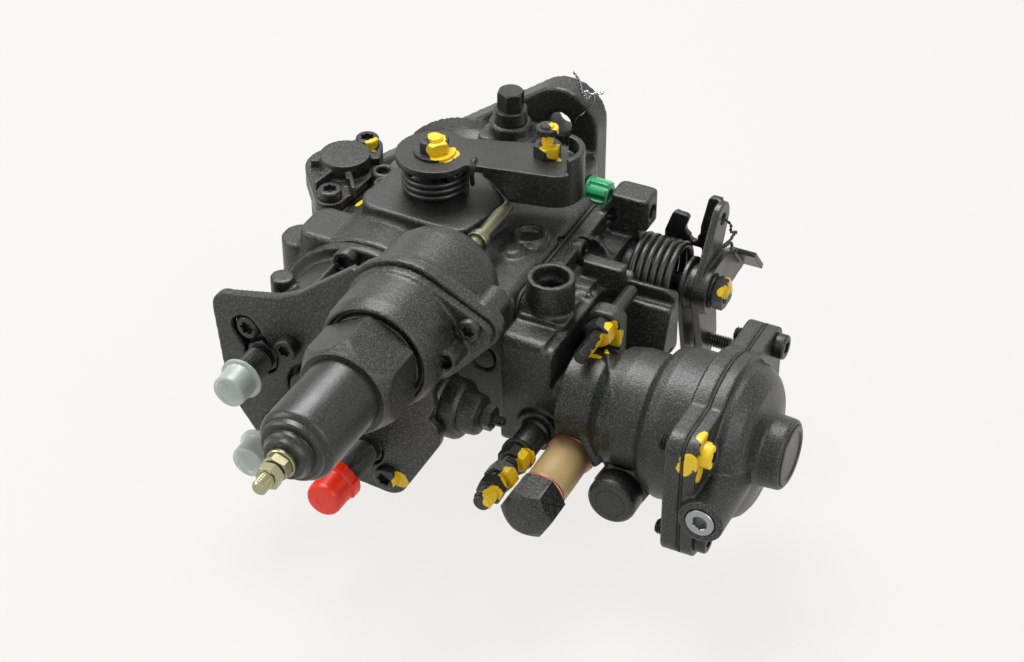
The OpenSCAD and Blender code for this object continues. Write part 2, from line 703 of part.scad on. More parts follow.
module bracket_plate() {
    color(black) difference() {
        union() {
            slab_y(plate_face_y, plate_y) polygon(wrap(plate_tail));
            slab_y(plate_face_y, plate_y) polygon(wrap([[wax_x, wax_z, plate_rim_r],
                [plate_lug[0], plate_lug[1], 7.5]]));
            // Sweep of the upper edge up to the round band
            slab_y(plate_face_y, plate_y) polygon([[-35, 20], [-36, 34.9], [-14, 40], [-4, 45],
                [6, 53], [20, 64], [50, 40], [54, 10], [48, -6], [0, 0]]);
        }
        plate_hole([0, 0], head_plug_r + 2);
        for (p = outlets()) plate_hole(p, outlet_d / 2 + 1.5);
        for (p = concat(plate_screw_at, [raised_screw_at])) plate_hole(p, screw_r + 0.4);
        // Slot from the first screw down to its outlet
        slab_y(plate_face_y - 1, plate_y + 1)
            polygon(wrap([[outlets()[0][0] + 1, outlets()[0][1] + 2, 5],
                [plate_screw_at[0][0], plate_screw_at[0][1], 4.5]]));
        plate_hole([wax_x, wax_z], wax_r - 6);
        plate_hole(plate_boss, screw_r + fit);
    }
}

module plate_hole(p, r) {
    disc_y(p[0], p[1], plate_face_y - 1, plate_y + 1, r);
}

module plate_screws() {
    color(black_plate) {
        for (p = plate_screw_at) screw_y(p, plate_face_y, plate_y + 9, 5, 3);
        screw_y(raised_screw_at, plate_face_y, plate_y + 9, 4.6, 5);
        screw_y(plate_boss, plate_face_y - 4, plate_y + 9, 4.4, 3);
    }
}

module solenoid_body() {
    color(black) difference() {
        turn_x(solenoid_y, solenoid_z) polygon([[0, 26], [9, 26], [9, solenoid_x],
            [solenoid_r, solenoid_x], [solenoid_r, solenoid_x + 11],
            [solenoid_r - 1.2, solenoid_x + 12], [solenoid_r - 1.2, solenoid_x + 18],
            [solenoid_r - 2.4, solenoid_x + 19.5], [solenoid_r - 4.6, solenoid_x + 19.5],
            [solenoid_r - 5, solenoid_x + 26], [solenoid_r - 8, solenoid_x + 27.5],
            [0, solenoid_x + 27.5]]);
        disc_x(solenoid_y, solenoid_z, 25, solenoid_x + 13, 4 + fit);
        disc_x(solenoid_y, solenoid_z, solenoid_x + 18, solenoid_x + 28, 2 + fit);
    }
}

module solenoid_terminal() {
    color(black_plate) {
        disc_x(solenoid_y, solenoid_z, solenoid_x + 19, solenoid_x + solenoid_len, 2);
        difference() {
            hex_x(solenoid_y, solenoid_z, solenoid_x + 27.5, solenoid_x + 31.5, 9);
            disc_x(solenoid_y, solenoid_z, solenoid_x + 27, solenoid_x + 32, 2 + fit);
        }
    }
}

module solenoid_plunger() {
    color(steel) disc_x(solenoid_y, solenoid_z, 26.5, solenoid_x + 9, 4);
}

module wax_dome() {
    color(black) difference() {
        union() {
            turn_y(wax_x, wax_z) polygon([[0, plate_y], [wax_r, plate_y],
                [wax_r, dome_y - 14], [wax_r - 2, dome_y - 8], [wax_r - 6, dome_y - 3],
                [wax_r - 12, dome_y], [dome_nose_r, dome_y],
                [dome_nose_r, dome_y + dome_nose_len], [0, dome_y + dome_nose_len]]);
            slab_y(plate_y, plate_y + 4)
                polygon(wrap([[wax_x, wax_z, wax_r + 1], [plate_lug[0], plate_lug[1], 6.5]]));
            disc_y(plate_boss[0], plate_boss[1], plate_y, plate_y + 14, 5.5);
        }
        turn_y(wax_x, wax_z) polygon([[0, plate_y - 1], [wax_r - 6, plate_y - 1],
            [wax_r - 6, dome_y - 14], [wax_r - 12, dome_y - 6], [0, dome_y - 6]]);
        disc_y(wax_x, wax_z, dome_y - 7, dome_y + dome_nose_len + 1, rod_d / 2 + fit);
        disc_y(plate_boss[0], plate_boss[1], plate_y - 1, plate_y + 10, screw_r + fit);
    }
}

module wax_body() {
    color(black) difference() {
        union() {
            slab_y(plate_face_y - 4, plate_face_y)
                polygon(wrap([[wax_x, wax_z, wax_r + 1], [plate_lug[0], plate_lug[1], 6]]));
            turn_y(wax_x, wax_z) polygon([[0, plate_face_y - 4], [wax_r, plate_face_y - 4],
                [wax_r - 0.5, plate_face_y - wax_body_len + 5], [wax_r - 2, plate_face_y - wax_body_len],
                [0, plate_face_y - wax_body_len]]);
            // Pocketed lug that carries the lower screw
            slab_y(plate_face_y - 15, plate_face_y)
                polygon(wrap([[wax_x + 4, wax_z - 4, 16], [plate_lug[0] - 8, plate_lug[1] - 7, 5]]));
        }
        disc_y(plate_lug[0] - 8, plate_lug[1] - 7, plate_face_y - 16, plate_face_y - 11, 3.2);
        disc_y(plate_boss[0], plate_boss[1], plate_face_y - 5, plate_face_y + 1, screw_r + fit);
        // Step round the nut
        tube_y(wax_x, wax_z, plate_face_y - wax_body_len - 1, plate_face_y - wax_body_len + 3,
            wax_r - 3.5, wax_r - 5.5);
        disc_y(wax_x, wax_z, plate_face_y - wax_body_len - 1, plate_face_y + 1, wax_tube_r + fit);
    }
}

module wax_nut() {
    y0 = plate_face_y - wax_body_len - wax_hex_len;
    color(black) difference() {
        union() {
            hex_y(wax_x, wax_z, y0 + 2, y0 + wax_hex_len, wax_hex_af, 0);
            disc_y(wax_x, wax_z, y0, y0 + 2, wax_hex_af / 2 - 1);
        }
        disc_y(wax_x, wax_z, y0 - 1, y0 + wax_hex_len + 1, wax_tube_r + fit);
    }
}

function wax_end_y() = plate_face_y - wax_body_len - wax_hex_len - wax_tube_len;

module wax_element() {
    y0 = wax_end_y();
    color([0.13, 0.13, 0.14]) difference() {
        turn_y(wax_x, wax_z) polygon([[0, plate_face_y + 1], [wax_tube_r, plate_face_y + 1],
            [wax_tube_r, y0 + 3], [wax_tube_r - 2, y0], [9, y0], [8.5, y0 - 3], [0, y0 - 3]]);
        disc_y(wax_x, wax_z, y0 - 4, y0 + 8, 3 + fit);
    }
}

module terminal_stud() {
    y0 = wax_end_y() - 3;
    color(zinc) {
        disc_y(wax_x, wax_z, y0 - 17, y0 + 10, 3);
        tube_y(wax_x, wax_z, y0 - 2, y0, 6, 3 + fit);
        difference() {
            union() {
                hex_y(wax_x, wax_z, y0 - 6, y0 - 2, 10);
                hex_y(wax_x, wax_z, y0 - 11, y0 - 7, 9);
            }
            disc_y(wax_x, wax_z, y0 - 12, y0, 3 + fit);
        }
    }
}

module push_rod() {
    color([0.45, 0.42, 0.28]) {
        disc_y(wax_x, wax_z, plate_y + 4, rod_end_y, rod_d / 2);
        disc_y(wax_x, wax_z, dome_y + 16, dome_y + 20, rod_d / 2 + 1.5);
    }
}

module cold_start_lever() {
    color(black_plate) difference() {
        union() {
            slab_z(lever_z, lever_z + lever_t) polygon(wrap(lever_arm));
            disc_z(pivot[0], pivot[1], lever_z, lever_z + lever_t, 16);
            disc_z(pivot[0], pivot[1], lever_z - 2, lever_z, 9);
            // Skirt that the push rod works on
            slab_z(lever_z - 12, lever_z) difference() {
                polygon(wrap(lever_arm));
                polygon(wrap([for (c = lever_arm) [c[0], c[1], c[2] - 2.5]]));
                translate([-20, -100]) square([52, 80]);
            }
        }
        disc_z(pivot[0], pivot[1], lever_z - 3, lever_z + lever_t + 1, pivot_hole_r + fit);
        disc_z(stop_at[0], stop_at[1], lever_z - 1, lever_z + lever_t + 1, screw_r + fit);
    }
}

module cold_start_shaft() {
    color(black_plate) {
        disc_z(pivot[0], pivot[1], lever_pad_z - 8, lever_z + lever_t, pivot_hole_r);
        hex_z(pivot[0], pivot[1], lever_z + lever_t, lever_z + lever_t + 4, 11);
    }
}

module cold_start_spring() {
    color(black_plate) translate([pivot[0], pivot[1], lever_pad_z])
        coil(12.5, spring_wire_d, 3.5, lever_z - 2 - air - lever_pad_z);
}

module stop_screw() {
    color(black_plate) {
        disc_z(stop_at[0], stop_at[1], lever_z - 6, lever_z + lever_t + 14, screw_r);
        difference() {
            union() {
                hex_z(stop_at[0], stop_at[1], lever_z + lever_t, lever_z + lever_t + 5, 10);
                disc_z(stop_at[0], stop_at[1], lever_z + lever_t + 10, lever_z + lever_t + 13, 4.5);
            }
            disc_z(stop_at[0], stop_at[1], lever_z, lever_z + lever_t + 15, screw_r + fit);
        }
    }
}

module timing_covers() {
    color(black) for (side = [0, 1]) mirror([0, 0, side]) difference() {
        union() {
            slab_z(timing_face_z, timing_face_z + timing_cover_t) polygon(timing_flange());
            disc_z(timing_cap_at[0], timing_cap_at[1], timing_face_z, timing_cap_z, 10.6);
            for (a = [205, 255, 305, 35]) translate([timing_cap_at[0], timing_cap_at[1], timing_face_z])
                rotate(a) translate([0, -1.2, 0])
                    cube([timing_outer_r, 2.4, timing_cap_z - timing_face_z - 3]);
        }
        for (p = timing_screw_at)
            disc_z(p[0], p[1], timing_face_z - 1, timing_face_z + 20, screw_r + fit);
    }
}

module timing_cover_screws() {
    color(black_plate) for (side = [0, 1], p = timing_screw_at) mirror([0, 0, side])
        screw_z(p, timing_face_z - 5, timing_face_z + timing_cover_t, 5, 4);
}

module timing_piston() {
    color(steel) difference() {
        disc_z(timing_x, timing_y, -timing_piston_half, timing_piston_half, timing_piston_r);
        translate([timing_x - 6.5, timing_y - pin_r - 0.4, -pin_r - 1])
            cube([30, 2 * pin_r + 0.8, 2 * pin_r + 2]);
    }
}

module timing_spring() {
    color(steel) translate([timing_x, timing_y, timing_piston_half])
        coil(6.5, 1.8, 3, timing_face_z - timing_piston_half);
}

module lock_bolt() {
    color(black_plate) {
        disc_z(lock_at[0], lock_at[1], lock_pad_z - 10, lock_pad_z + 6, 5);
        disc_z(lock_at[0], lock_at[1], lock_pad_z + 6, lock_pad_z + 12, 7);
        hex_z(lock_at[0], lock_at[1], lock_pad_z + 12, lock_pad_z + 20, 10);
    }
}

module inlet_plug() {
    color([0.05, 0.5, 0.25]) difference() {
        union() {
            disc_x(inlet_y, inlet_z, inlet_x - 10, inlet_x, inlet_r);
            disc_x(inlet_y, inlet_z, inlet_x, inlet_x + 1.5, inlet_r + 2);
            disc_x(inlet_y, inlet_z, inlet_x, inlet_x + 10, inlet_r + 0.8);
            for (a = [0:30:330]) translate([inlet_x, inlet_y, inlet_z]) rotate([a, 0, 0])
                translate([0, -1, 0]) cube([9, 2, inlet_r + 1.8]);
        }
        disc_x(inlet_y, inlet_z, inlet_x - 11, inlet_x + 8, inlet_r - 1.5);
    }
}

module throttle_lever() {
    hub = [throttle_y, throttle_z, 10];
    x1 = throttle_x + lever_t;
    color(black_plate) difference() {
        union() {
            // Hub and the plate that retains the spring
            disc_x(throttle_y, throttle_z, retainer_x, throttle_x, 9.5);
            slab_x(retainer_x, retainer_x + 2) polygon(wrap([[throttle_y, throttle_z, 12],
                [throttle_foot[0] - 5, throttle_foot[1] - 2, 6]]));
            // Plate with the cable eye above and the stop foot below
            slab_x(throttle_x, x1) union() {
                polygon(wrap([hub, [throttle_eye[0], throttle_eye[1], 7.3]]));
                polygon(wrap([hub, [throttle_foot[0], throttle_foot[1], 8]]));
            }
            // Outer arm with its bent end
            slab_x(x1, x1 + lever_t) polygon(wrap([hub, [throttle_y + 33, throttle_z - 7.5, 1.5],
                [throttle_y + 24, throttle_z + 4.5, 1.5], [throttle_y + 15, throttle_z + 8.5, 1.5]]));
            slab_x(x1, x1 + lever_t + 8.5) translate([throttle_y, throttle_z])
                polygon([[23.2, 4.6], [24.8, 6.2], [35.4, -6.2], [33.8, -7.8]]);
            slab_y(throttle_y + 16, throttle_y + 19) translate([throttle_x, throttle_z])
                polygon(notched_bracket());
        }
        disc_x(throttle_y, throttle_z, retainer_x - 1, throttle_x + 7, throttle_shaft_d / 2 - 1 + fit);
        disc_x(throttle_eye[0], throttle_eye[1], throttle_x - 1, throttle_x + 7, 2.6);
        disc_x(throttle_foot[0], throttle_foot[1], throttle_x - 1, throttle_x + 7, screw_r + fit);
        translate([throttle_x - 10, throttle_y + 15, throttle_z + 11.5]) rotate([-90, 0, 0])
            cylinder(r = 1.8, h = 5);
    }
}

// Cable bracket seen along the pump: two prongs with a round notch between them
function notched_bracket() = concat([[-22.8, 9], [-21, 7.4], [-6.3, 7.4], [-5.6, -3], [1, -3],
    [1, 33], [-3, 33], [-4.5, 31.8], [-7.2, 18]],
    [for (a = [0:-20:-180]) [-10.6 + 3.4 * cos(a), 15.1 + 3.4 * sin(a)]],
    [[-12.6, 19.5], [-13, 21.1], [-18.4, 21.7], [-20, 20.5], [-22.8, 12]]);

module throttle_shaft() {
    x1 = throttle_x + 2 * lever_t;
    color(steel) {
        disc_x(throttle_y, throttle_z, throttle_boss_x - 8, x1 + 6.5, throttle_shaft_d / 2 - 1);
        difference() {
            hex_x(throttle_y, throttle_z, x1, x1 + 5.5, 12);
            disc_x(throttle_y, throttle_z, throttle_x, x1 + 9, throttle_shaft_d / 2 - 1 + fit);
        }
        disc_x(throttle_foot[0], throttle_foot[1], throttle_x - 2.5, throttle_x + 13, screw_r);
        difference() {
            hex_x(throttle_foot[0], throttle_foot[1], throttle_x - 2.5, throttle_x, 9);
            disc_x(throttle_foot[0], throttle_foot[1], throttle_x - 3, throttle_x + 1, screw_r + fit);
        }
    }
}

module throttle_spring() {
    color(black_plate) translate([throttle_boss_x + 4, throttle_y, throttle_z]) rotate([0, 90, 0])
        coil(throttle_spring_r, spring_wire_d + 0.4, 6, retainer_x - air - throttle_boss_x - 4);
}

module speed_screw() {
    color(black_plate) {
        disc_y(speed_x, speed_z, speed_y - 22, shelf_y + 1, adjust_d / 2 - 1);
        difference() {
            hex_y(speed_x, speed_z, speed_y - 6, speed_y, 10);
            disc_y(speed_x, speed_z, speed_y - 7, speed_y + 1, adjust_d / 2 - 1 + fit);
        }
    }
}

module full_load_screw() {
    y0 = cover_y0 - 3;
    color(black_plate) {
        difference() {
            disc_y(full_load_x, full_load_z, y0 - 48, cover_y0 + 23, adjust_d / 2);
            translate([full_load_x - 5, y0 - 49, full_load_z - 0.6]) cube([10, 3, 1.2]);
        }
        difference() {
            union() {
                turn_y(full_load_x, full_load_z) polygon([[0, y0], [6.8, y0], [5.8, y0 - 2],
                    [5.8, y0 - 12], [5, y0 - 14], [0, y0 - 14]]);
                disc_y(full_load_x, full_load_z, y0 - 16, y0 - 14, 7);
                hex_y(full_load_x, full_load_z, y0 - 22, y0 - 16, 11);
                hex_y(full_load_x, full_load_z, y0 - 33, y0 - 27, 11);
                hex_y(full_load_x, full_load_z, y0 - 41, y0 - 35.5, 10);
            }
            disc_y(full_load_x, full_load_z, y0 - 50, y0 + 1, adjust_d / 2 + fit);
        }
    }
}

module overflow_bolt() {
    y0 = cover_y0 - 3 - 27.5;
    color(black_plate) {
        disc_y(overflow_x, overflow_z, y0, cover_y0 + 15, 6);
        hex_y(overflow_x, overflow_z, y0 - 14, y0, overflow_af, 0);
        disc_y(overflow_x, overflow_z, y0 - 15, y0 - 14, overflow_af / 2 - 1);
    }
}

module overflow_sleeve() {
    y0 = cover_y0 - 3 - 26;
    color([0.62, 0.5, 0.34]) tube_y(overflow_x, overflow_z, y0, y0 + 24.5, 8.8, 6 + fit);
}

module copper_washers() {
    y0 = cover_y0 - 3;
    color([0.8, 0.45, 0.35]) {
        tube_y(overflow_x, overflow_z, y0 - 1.5, y0, 9.6, 6 + fit);
        tube_y(overflow_x, overflow_z, y0 - 27.5, y0 - 26, 9.6, 6 + fit);
    }
}

// Gear outline: straight-sided teeth, the first one on the X axis
function gear_outline(teeth, r) = [for (i = [0:teeth - 1]) each
    let (a = 360 * i / teeth, p = 360 / teeth)
    [for (k = [[-0.3, -1.25], [-0.12, 0.95], [0.12, 0.95], [0.3, -1.25]])
        (r + k[1] * gear_module) * [cos(a + k[0] * p), sin(a + k[0] * p)]]];

module drive_shaft() {
    r = shaft_d / 2;
    end_y = spigot_h + 3 + taper_len;
    color(steel) difference() {
        union() {
            turn_y(0, 0) polygon([[0, ring_y - 2], [r, ring_y - 2], [r, spigot_h + 3],
                [r * 0.86, end_y], [shaft_thread_d / 2, end_y],
                [shaft_thread_d / 2, end_y + shaft_thread_len - 1],
                [shaft_thread_d / 2 - 1, end_y + shaft_thread_len],
                [0, end_y + shaft_thread_len]]);
            slab_y(gear_y, gear_y + gear_t)
                polygon(gear_outline(shaft_gear_teeth, shaft_gear_teeth * gear_module / 2));
            // Key seated in the taper
            translate([-2, spigot_h + 8, 0]) cube([4, 12, r + 1.5]);
            // Claws that turn the cam plate
            for (s = [-1, 1]) translate([s * 9 - 5, cam_y - 4, -4])
                cube([10, ring_y - cam_y + 4, 8]);
        }
        disc_y(0, 0, cam_y - 5, ring_y - 6, 6);
    }
}

module shaft_bush() {
    color([0.7, 0.6, 0.35]) tube_y(0, 0, bush_y, seal_y, bush_r - fit, shaft_d / 2 + fit);
}

module shaft_seal() {
    color([0.08, 0.08, 0.08]) tube_y(0, 0, seal_y, spigot_h, seal_r - fit, shaft_d / 2 + fit);
}

module vane_ring() {
    color(steel) difference() {
        union() {
            disc_y(0, 0, vane_y, vane_y + vane_t, bore_r - fit);
        }
        disc_y(0, 1.5, vane_y + 2, vane_y + vane_t + 1, 24);
        disc_y(0, 0, vane_y - 1, vane_y + 3, shaft_d / 2 + 1);
    }
}

module vane_rotor() {
    color(steel) {
        difference() {
            disc_y(0, 0, vane_y + 2.1, vane_y + vane_t - 0.1, 21);
            disc_y(0, 0, vane_y, vane_y + vane_t + 1, shaft_d / 2 + fit);
            for (a = [0:90:270]) rotate([0, a, 0])
                translate([-1.05, vane_y, 13]) cube([2.1, vane_t + 2, 12]);
        }
        for (a = [0:90:270]) rotate([0, a, 0])
            translate([-1, vane_y + 2.1, 13.2]) cube([2, vane_t - 2.2, 9]);
    }
}

module governor_shaft() {
    color(steel) disc_y(governor_x, 0, head_y + 1, cover_y1 - 1, 5 - 2 * fit);
}

module governor_carrier() {
    color(steel) {
        difference() {
            union() {
                slab_y(gear_y, gear_y + gear_t) translate([governor_x, 0])
                    rotate(180 / carrier_gear_teeth)
                        polygon(gear_outline(carrier_gear_teeth, carrier_gear_teeth * gear_module / 2));
                disc_y(governor_x, 0, gear_y - carrier_len, gear_y, carrier_r);
            }
            disc_y(governor_x, 0, gear_y - carrier_len - 1, gear_y + gear_t + 1, 5 + fit);
            translate([governor_x, 0, 0]) for (a = [0:90:270]) rotate([0, a + 45, 0])
                translate([-4.3, gear_y - carrier_len - 1, 8]) cube([8.6, carrier_len - 3, 10]);
            disc_y(governor_x, 0, gear_y - carrier_len - 1, gear_y - 14, 9);
        }
        translate([governor_x, 0, 0]) for (a = [0:90:270]) rotate([0, a + 45, 0])
            translate([-4, gear_y - carrier_len + 2, 9.2]) cube([8, carrier_len - 6.3, 6]);
    }
}

module governor_sleeve() {
    y1 = gear_y - 14 - air;
    color(steel) tube_y(governor_x, 0, y1 - sleeve_len, y1, 8, 5 + fit);
}

module roller_ring() {
    color(steel) {
        difference() {
            disc_y(0, 0, ring_y - ring_t, ring_y, bore_r - 0.3);
            disc_y(0, 0, ring_y - ring_t - 1, ring_y + 1, ring_in_r);
            for (a = [45:90:315]) rotate([0, a, 0])
                disc_x(ring_y - ring_t + 1, 0, ring_in_r - 1, roller_circle_r + 5,
                    roller_r + 0.1);
        }
        disc_x(timing_y, 0, timing_x - 5, -ring_in_r - 4, pin_r);
        for (a = [45:90:315]) rotate([0, a, 0])
            disc_x(ring_y - ring_t + 1, 0, roller_circle_r - 5, roller_circle_r + 5, roller_r);
    }
}

module cam_plate() {
    color(steel) difference() {
        union() {
            disc_y(0, 0, cam_y - cam_t, cam_y - 3, cam_r);
            // Four face cams in two steps
            for (a = [0:90:270], s = [[32, 1.5], [20, 3]]) intersection() {
                disc_y(0, 0, cam_y - 3, cam_y - 3 + s[1], cam_r);
                slab_y(cam_y - 4, cam_y + 1) polygon([
                    18 * [cos(a - s[0]), sin(a - s[0])], 40 * [cos(a - s[0]), sin(a - s[0])],
                    40 * [cos(a + s[0]), sin(a + s[0])], 18 * [cos(a + s[0]), sin(a + s[0])]]);
            }
        }
        for (s = [-1, 1]) translate([s * 9 - 5.3, cam_y - 4.5, -4.3]) cube([10.6, 10, 8.6]);
        disc_y(0, 0, cam_y - cam_t - 1, cam_y, plunger_d / 2 + fit);
    }
}

module plunger() {
    color(steel) {
        disc_y(0, 0, plate_y + 12, cam_y - 3, plunger_d / 2);
        tube_y(0, 0, foot_y - 3, foot_y, 11, plunger_d / 2 + fit);
    }
}

module control_spool() {
    color(steel) tube_y(0, 0, head_y + 12, head_y + 20, 11, plunger_d / 2 + fit);
}

module plunger_spring() {
    y0 = head_y + 7;
    len = foot_y - 3 - air - 3 - y0;
    color(steel) {
        for (s = [-1, 1]) translate([0, y0, s * 22]) {
            rotate([-90, 0, 0]) coil(6, 2, 5, len);
            rotate([-90, 0, 0]) cylinder(r = 3, h = len);
        }
        translate([0, y0 + len, 0]) rotate([90, 0, 0]) translate([0, 0, -3]) difference() {
            linear_extrude(3) polygon(wrap([[0, -22, 9], [0, 22, 9]]));
            translate([0, 0, -1]) cylinder(r = 12, h = 5);
        }
    }
}

pump_housing();
cover_gasket();
governor_cover();
cover_screws();
boost_cover();
boost_diaphragm();
boost_screws();
boost_pin();
boost_spring();
boost_center_plug();
boost_port_plug();
boost_side_plug();
distributor_head();
head_screws();
delivery_valves();
clear_caps();
red_cap();
head_plug();
bracket_plate();
plate_screws();
solenoid_body();
solenoid_terminal();
solenoid_plunger();
wax_dome();
wax_body();
wax_nut();
wax_element();
terminal_stud();
push_rod();
cold_start_lever();
cold_start_shaft();
cold_start_spring();
stop_screw();
timing_covers();
timing_cover_screws();
timing_piston();
timing_spring();
lock_bolt();
inlet_plug();
throttle_lever();
throttle_shaft();
throttle_spring();
speed_screw();
full_load_screw();
overflow_bolt();
overflow_sleeve();
copper_washers();
drive_shaft();
shaft_bush();
shaft_seal();
vane_ring();
vane_rotor();
governor_shaft();
governor_carrier();
governor_sleeve();
roller_ring();
cam_plate();
plunger();
control_spool();
plunger_spring();
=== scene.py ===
"""Diesel injection pump: looks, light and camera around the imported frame.

Lengths are millimetres unless a name says otherwise, in the frame of the part: +Y along the
drive shaft to the engine, +X towards the governor cover, +Z up, and the origin at the centre of
the drive-flange face.
"""

import json
import math

import bmesh
import bpy
import numpy as np
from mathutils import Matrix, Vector


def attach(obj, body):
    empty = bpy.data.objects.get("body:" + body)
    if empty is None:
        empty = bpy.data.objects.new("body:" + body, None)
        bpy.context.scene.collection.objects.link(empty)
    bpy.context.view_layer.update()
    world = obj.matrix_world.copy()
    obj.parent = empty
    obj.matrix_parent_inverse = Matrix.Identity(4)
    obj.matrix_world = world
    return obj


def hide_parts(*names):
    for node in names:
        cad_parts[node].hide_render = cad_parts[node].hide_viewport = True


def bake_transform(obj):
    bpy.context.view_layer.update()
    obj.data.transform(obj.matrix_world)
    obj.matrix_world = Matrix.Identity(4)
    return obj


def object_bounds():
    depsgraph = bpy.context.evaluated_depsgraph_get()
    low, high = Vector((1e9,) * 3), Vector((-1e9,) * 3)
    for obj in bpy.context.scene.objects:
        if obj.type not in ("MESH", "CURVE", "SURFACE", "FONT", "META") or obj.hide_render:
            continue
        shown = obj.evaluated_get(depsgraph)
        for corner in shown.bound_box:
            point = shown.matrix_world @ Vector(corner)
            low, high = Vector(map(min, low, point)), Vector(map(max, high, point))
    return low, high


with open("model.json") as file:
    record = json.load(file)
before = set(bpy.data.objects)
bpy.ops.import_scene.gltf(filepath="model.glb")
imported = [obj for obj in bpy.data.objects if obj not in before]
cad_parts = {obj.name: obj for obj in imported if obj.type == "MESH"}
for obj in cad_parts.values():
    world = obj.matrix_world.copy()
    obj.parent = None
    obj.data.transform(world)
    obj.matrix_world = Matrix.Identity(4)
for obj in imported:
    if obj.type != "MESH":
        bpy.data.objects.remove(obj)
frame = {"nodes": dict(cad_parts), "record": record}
CAD_BOX = [list(corner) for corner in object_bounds()]
MM = 0.001
TURN = 2 * math.pi

# Camera: where it looks, its bearing and height in degrees, its distance and its lens
LOOKS_AT = Vector((49.4, -82.9, -6.6))
BEARING, HEIGHT, DISTANCE = 26.0, 36.5, 984.0
LENS, SENSOR = 84.375, 36

# Directions
ALONG_X, ALONG_Y, UP, BACK = (1, 0, 0), (0, 1, 0), (0, 0, 1), (0, -1, 0)


def srgb(code):
    """A hex colour such as 1c1d1f turned to linear values."""
    parts = [int(code[i : i + 2], 16) / 255 for i in (0, 2, 4)]
    return [c / 12.92 if c <= 0.04045 else ((c + 0.055) / 1.055) ** 2.4 for c in parts] + [1.0]


def add(tree, kind, inputs=None, **settings):
    """One node. Each of inputs is a number, a colour or another node's output."""
    made = tree.nodes.new(kind)
    for key, value in settings.items():
        setattr(made, key, value)
    for key, value in (inputs or {}).items():
        if isinstance(value, bpy.types.NodeSocket):
            tree.links.new(value, made.inputs[key])
        else:
            made.inputs[key].default_value = value
    return made


def camera_side():
    """The direction from the object to the camera."""
    a, e = math.radians(BEARING), math.radians(HEIGHT)
    return Vector((math.sin(a) * math.cos(e), -math.cos(a) * math.cos(e), math.sin(e)))


def make_camera():
    """The camera at the photograph's angle, with a long lens."""
    data = bpy.data.cameras.new("camera")
    data.lens, data.sensor_width = LENS, SENSOR
    data.clip_start, data.clip_end = 0.05, 20
    camera = bpy.data.objects.new("camera", data)
    camera.location = (LOOKS_AT + camera_side() * DISTANCE) * MM
    camera.rotation_euler = (-camera_side()).to_track_quat("-Z", "Y").to_euler()
    bpy.context.scene.collection.objects.link(camera)
    bpy.context.scene.camera = camera


make_camera()

# Materials

# Inspector's marks in yellow paint: middle and radius of each
YELLOW_MARKS = [
    # Cold-start lever: pivot nut and stop screw
    (10.1, -71.8, 67.5, 3.2), (14.5, -74.3, 65.0, 3.4), (16.3, -71.0, 63.0, 2.6),
    (12.1, -77.4, 67.0, 2.3), (55.5, -56.2, 66.5, 2.8), (53.0, -57.5, 70.0, 2.6),
    (53.7, -52.5, 75.0, 1.9),
    # Timing device
    (-36.0, -41.2, 37.7, 2.4), (-21.8, -79.1, 33.5, 2.0),
    # Speed screw, along its thread
    (104.2, -104.0, 21.8, 3.2), (103.5, -110.0, 23.2, 3.2), (103.5, -106.6, 28.2, 2.2),
    (101.2, -115.0, 22.8, 2.6), (100.4, -120.0, 22.8, 2.4),
    # Throttle shaft's nut
    (127.5, -47.7, 14.9, 1.9), (127.5, -41.5, 14.5, 2.6), (127.5, -40.0, 10.0, 2.1),
    # Boost cover, round its lower screw
    (163.8, -157.9, 19.7, 2.7), (164.5, -155.5, 24.6, 2.2), (161.5, -152.2, 26.5, 2.2),
    (161.5, -155.8, 13.0, 2.5), (158.4, -160.2, 20.4, 2.6), (157.0, -160.2, 17.0, 2.2),
    # Full-load screw's nuts and tip
    (88.3, -150.0, -11.5, 3.8), (87.3, -163.0, -11.5, 4.0), (86.5, -175.0, -11.5, 3.6),
    # Bracket plate, beside its low screw
    (37.8, -160.0, -32.3, 3.0),
]
MARK_COLOUR = "e6c018"

# Widths that patterns are drawn at, in millimetres: a run at the edge of wet paint, a stain left by
# oil, and a cloud in the tone of a finish
RUN, STAIN, CLOUD = 4.0, 21.0, 9.0


def splashes(tree, where):
    """1 inside a splash of paint and 0 outside, from a point's distance to the middle of each mark.
    The point is shifted by noise first, so that the edge runs like wet paint."""
    runs = add(tree, "ShaderNodeTexNoise", {"Vector": where, "Scale": 1000 / RUN, "Detail": 3})
    shift = 3.6 * MM
    moved = add(
        tree,
        "ShaderNodeVectorMath",
        {0: runs.outputs["Color"], 1: (shift, shift, shift), 2: where},
        operation="MULTIPLY_ADD",
    ).outputs[0]
    inside = 0.0
    for x, y, z, radius in YELLOW_MARKS:
        middle = Vector((x, y, z)) * MM + Vector((shift, shift, shift)) / 2
        apart = add(tree, "ShaderNodeVectorMath", {0: moved, 1: middle}, operation="DISTANCE")
        edge = {"From Min": (radius + 1.1) * MM, "From Max": (radius + 0.9) * MM}
        here = add(tree, "ShaderNodeMapRange", {"Value": apart.outputs["Value"], **edge})
        most = add(tree, "ShaderNodeMath", {0: inside, 1: here.outputs["Result"]}, operation="MAXIMUM")
        inside = most.outputs[0]
    return inside


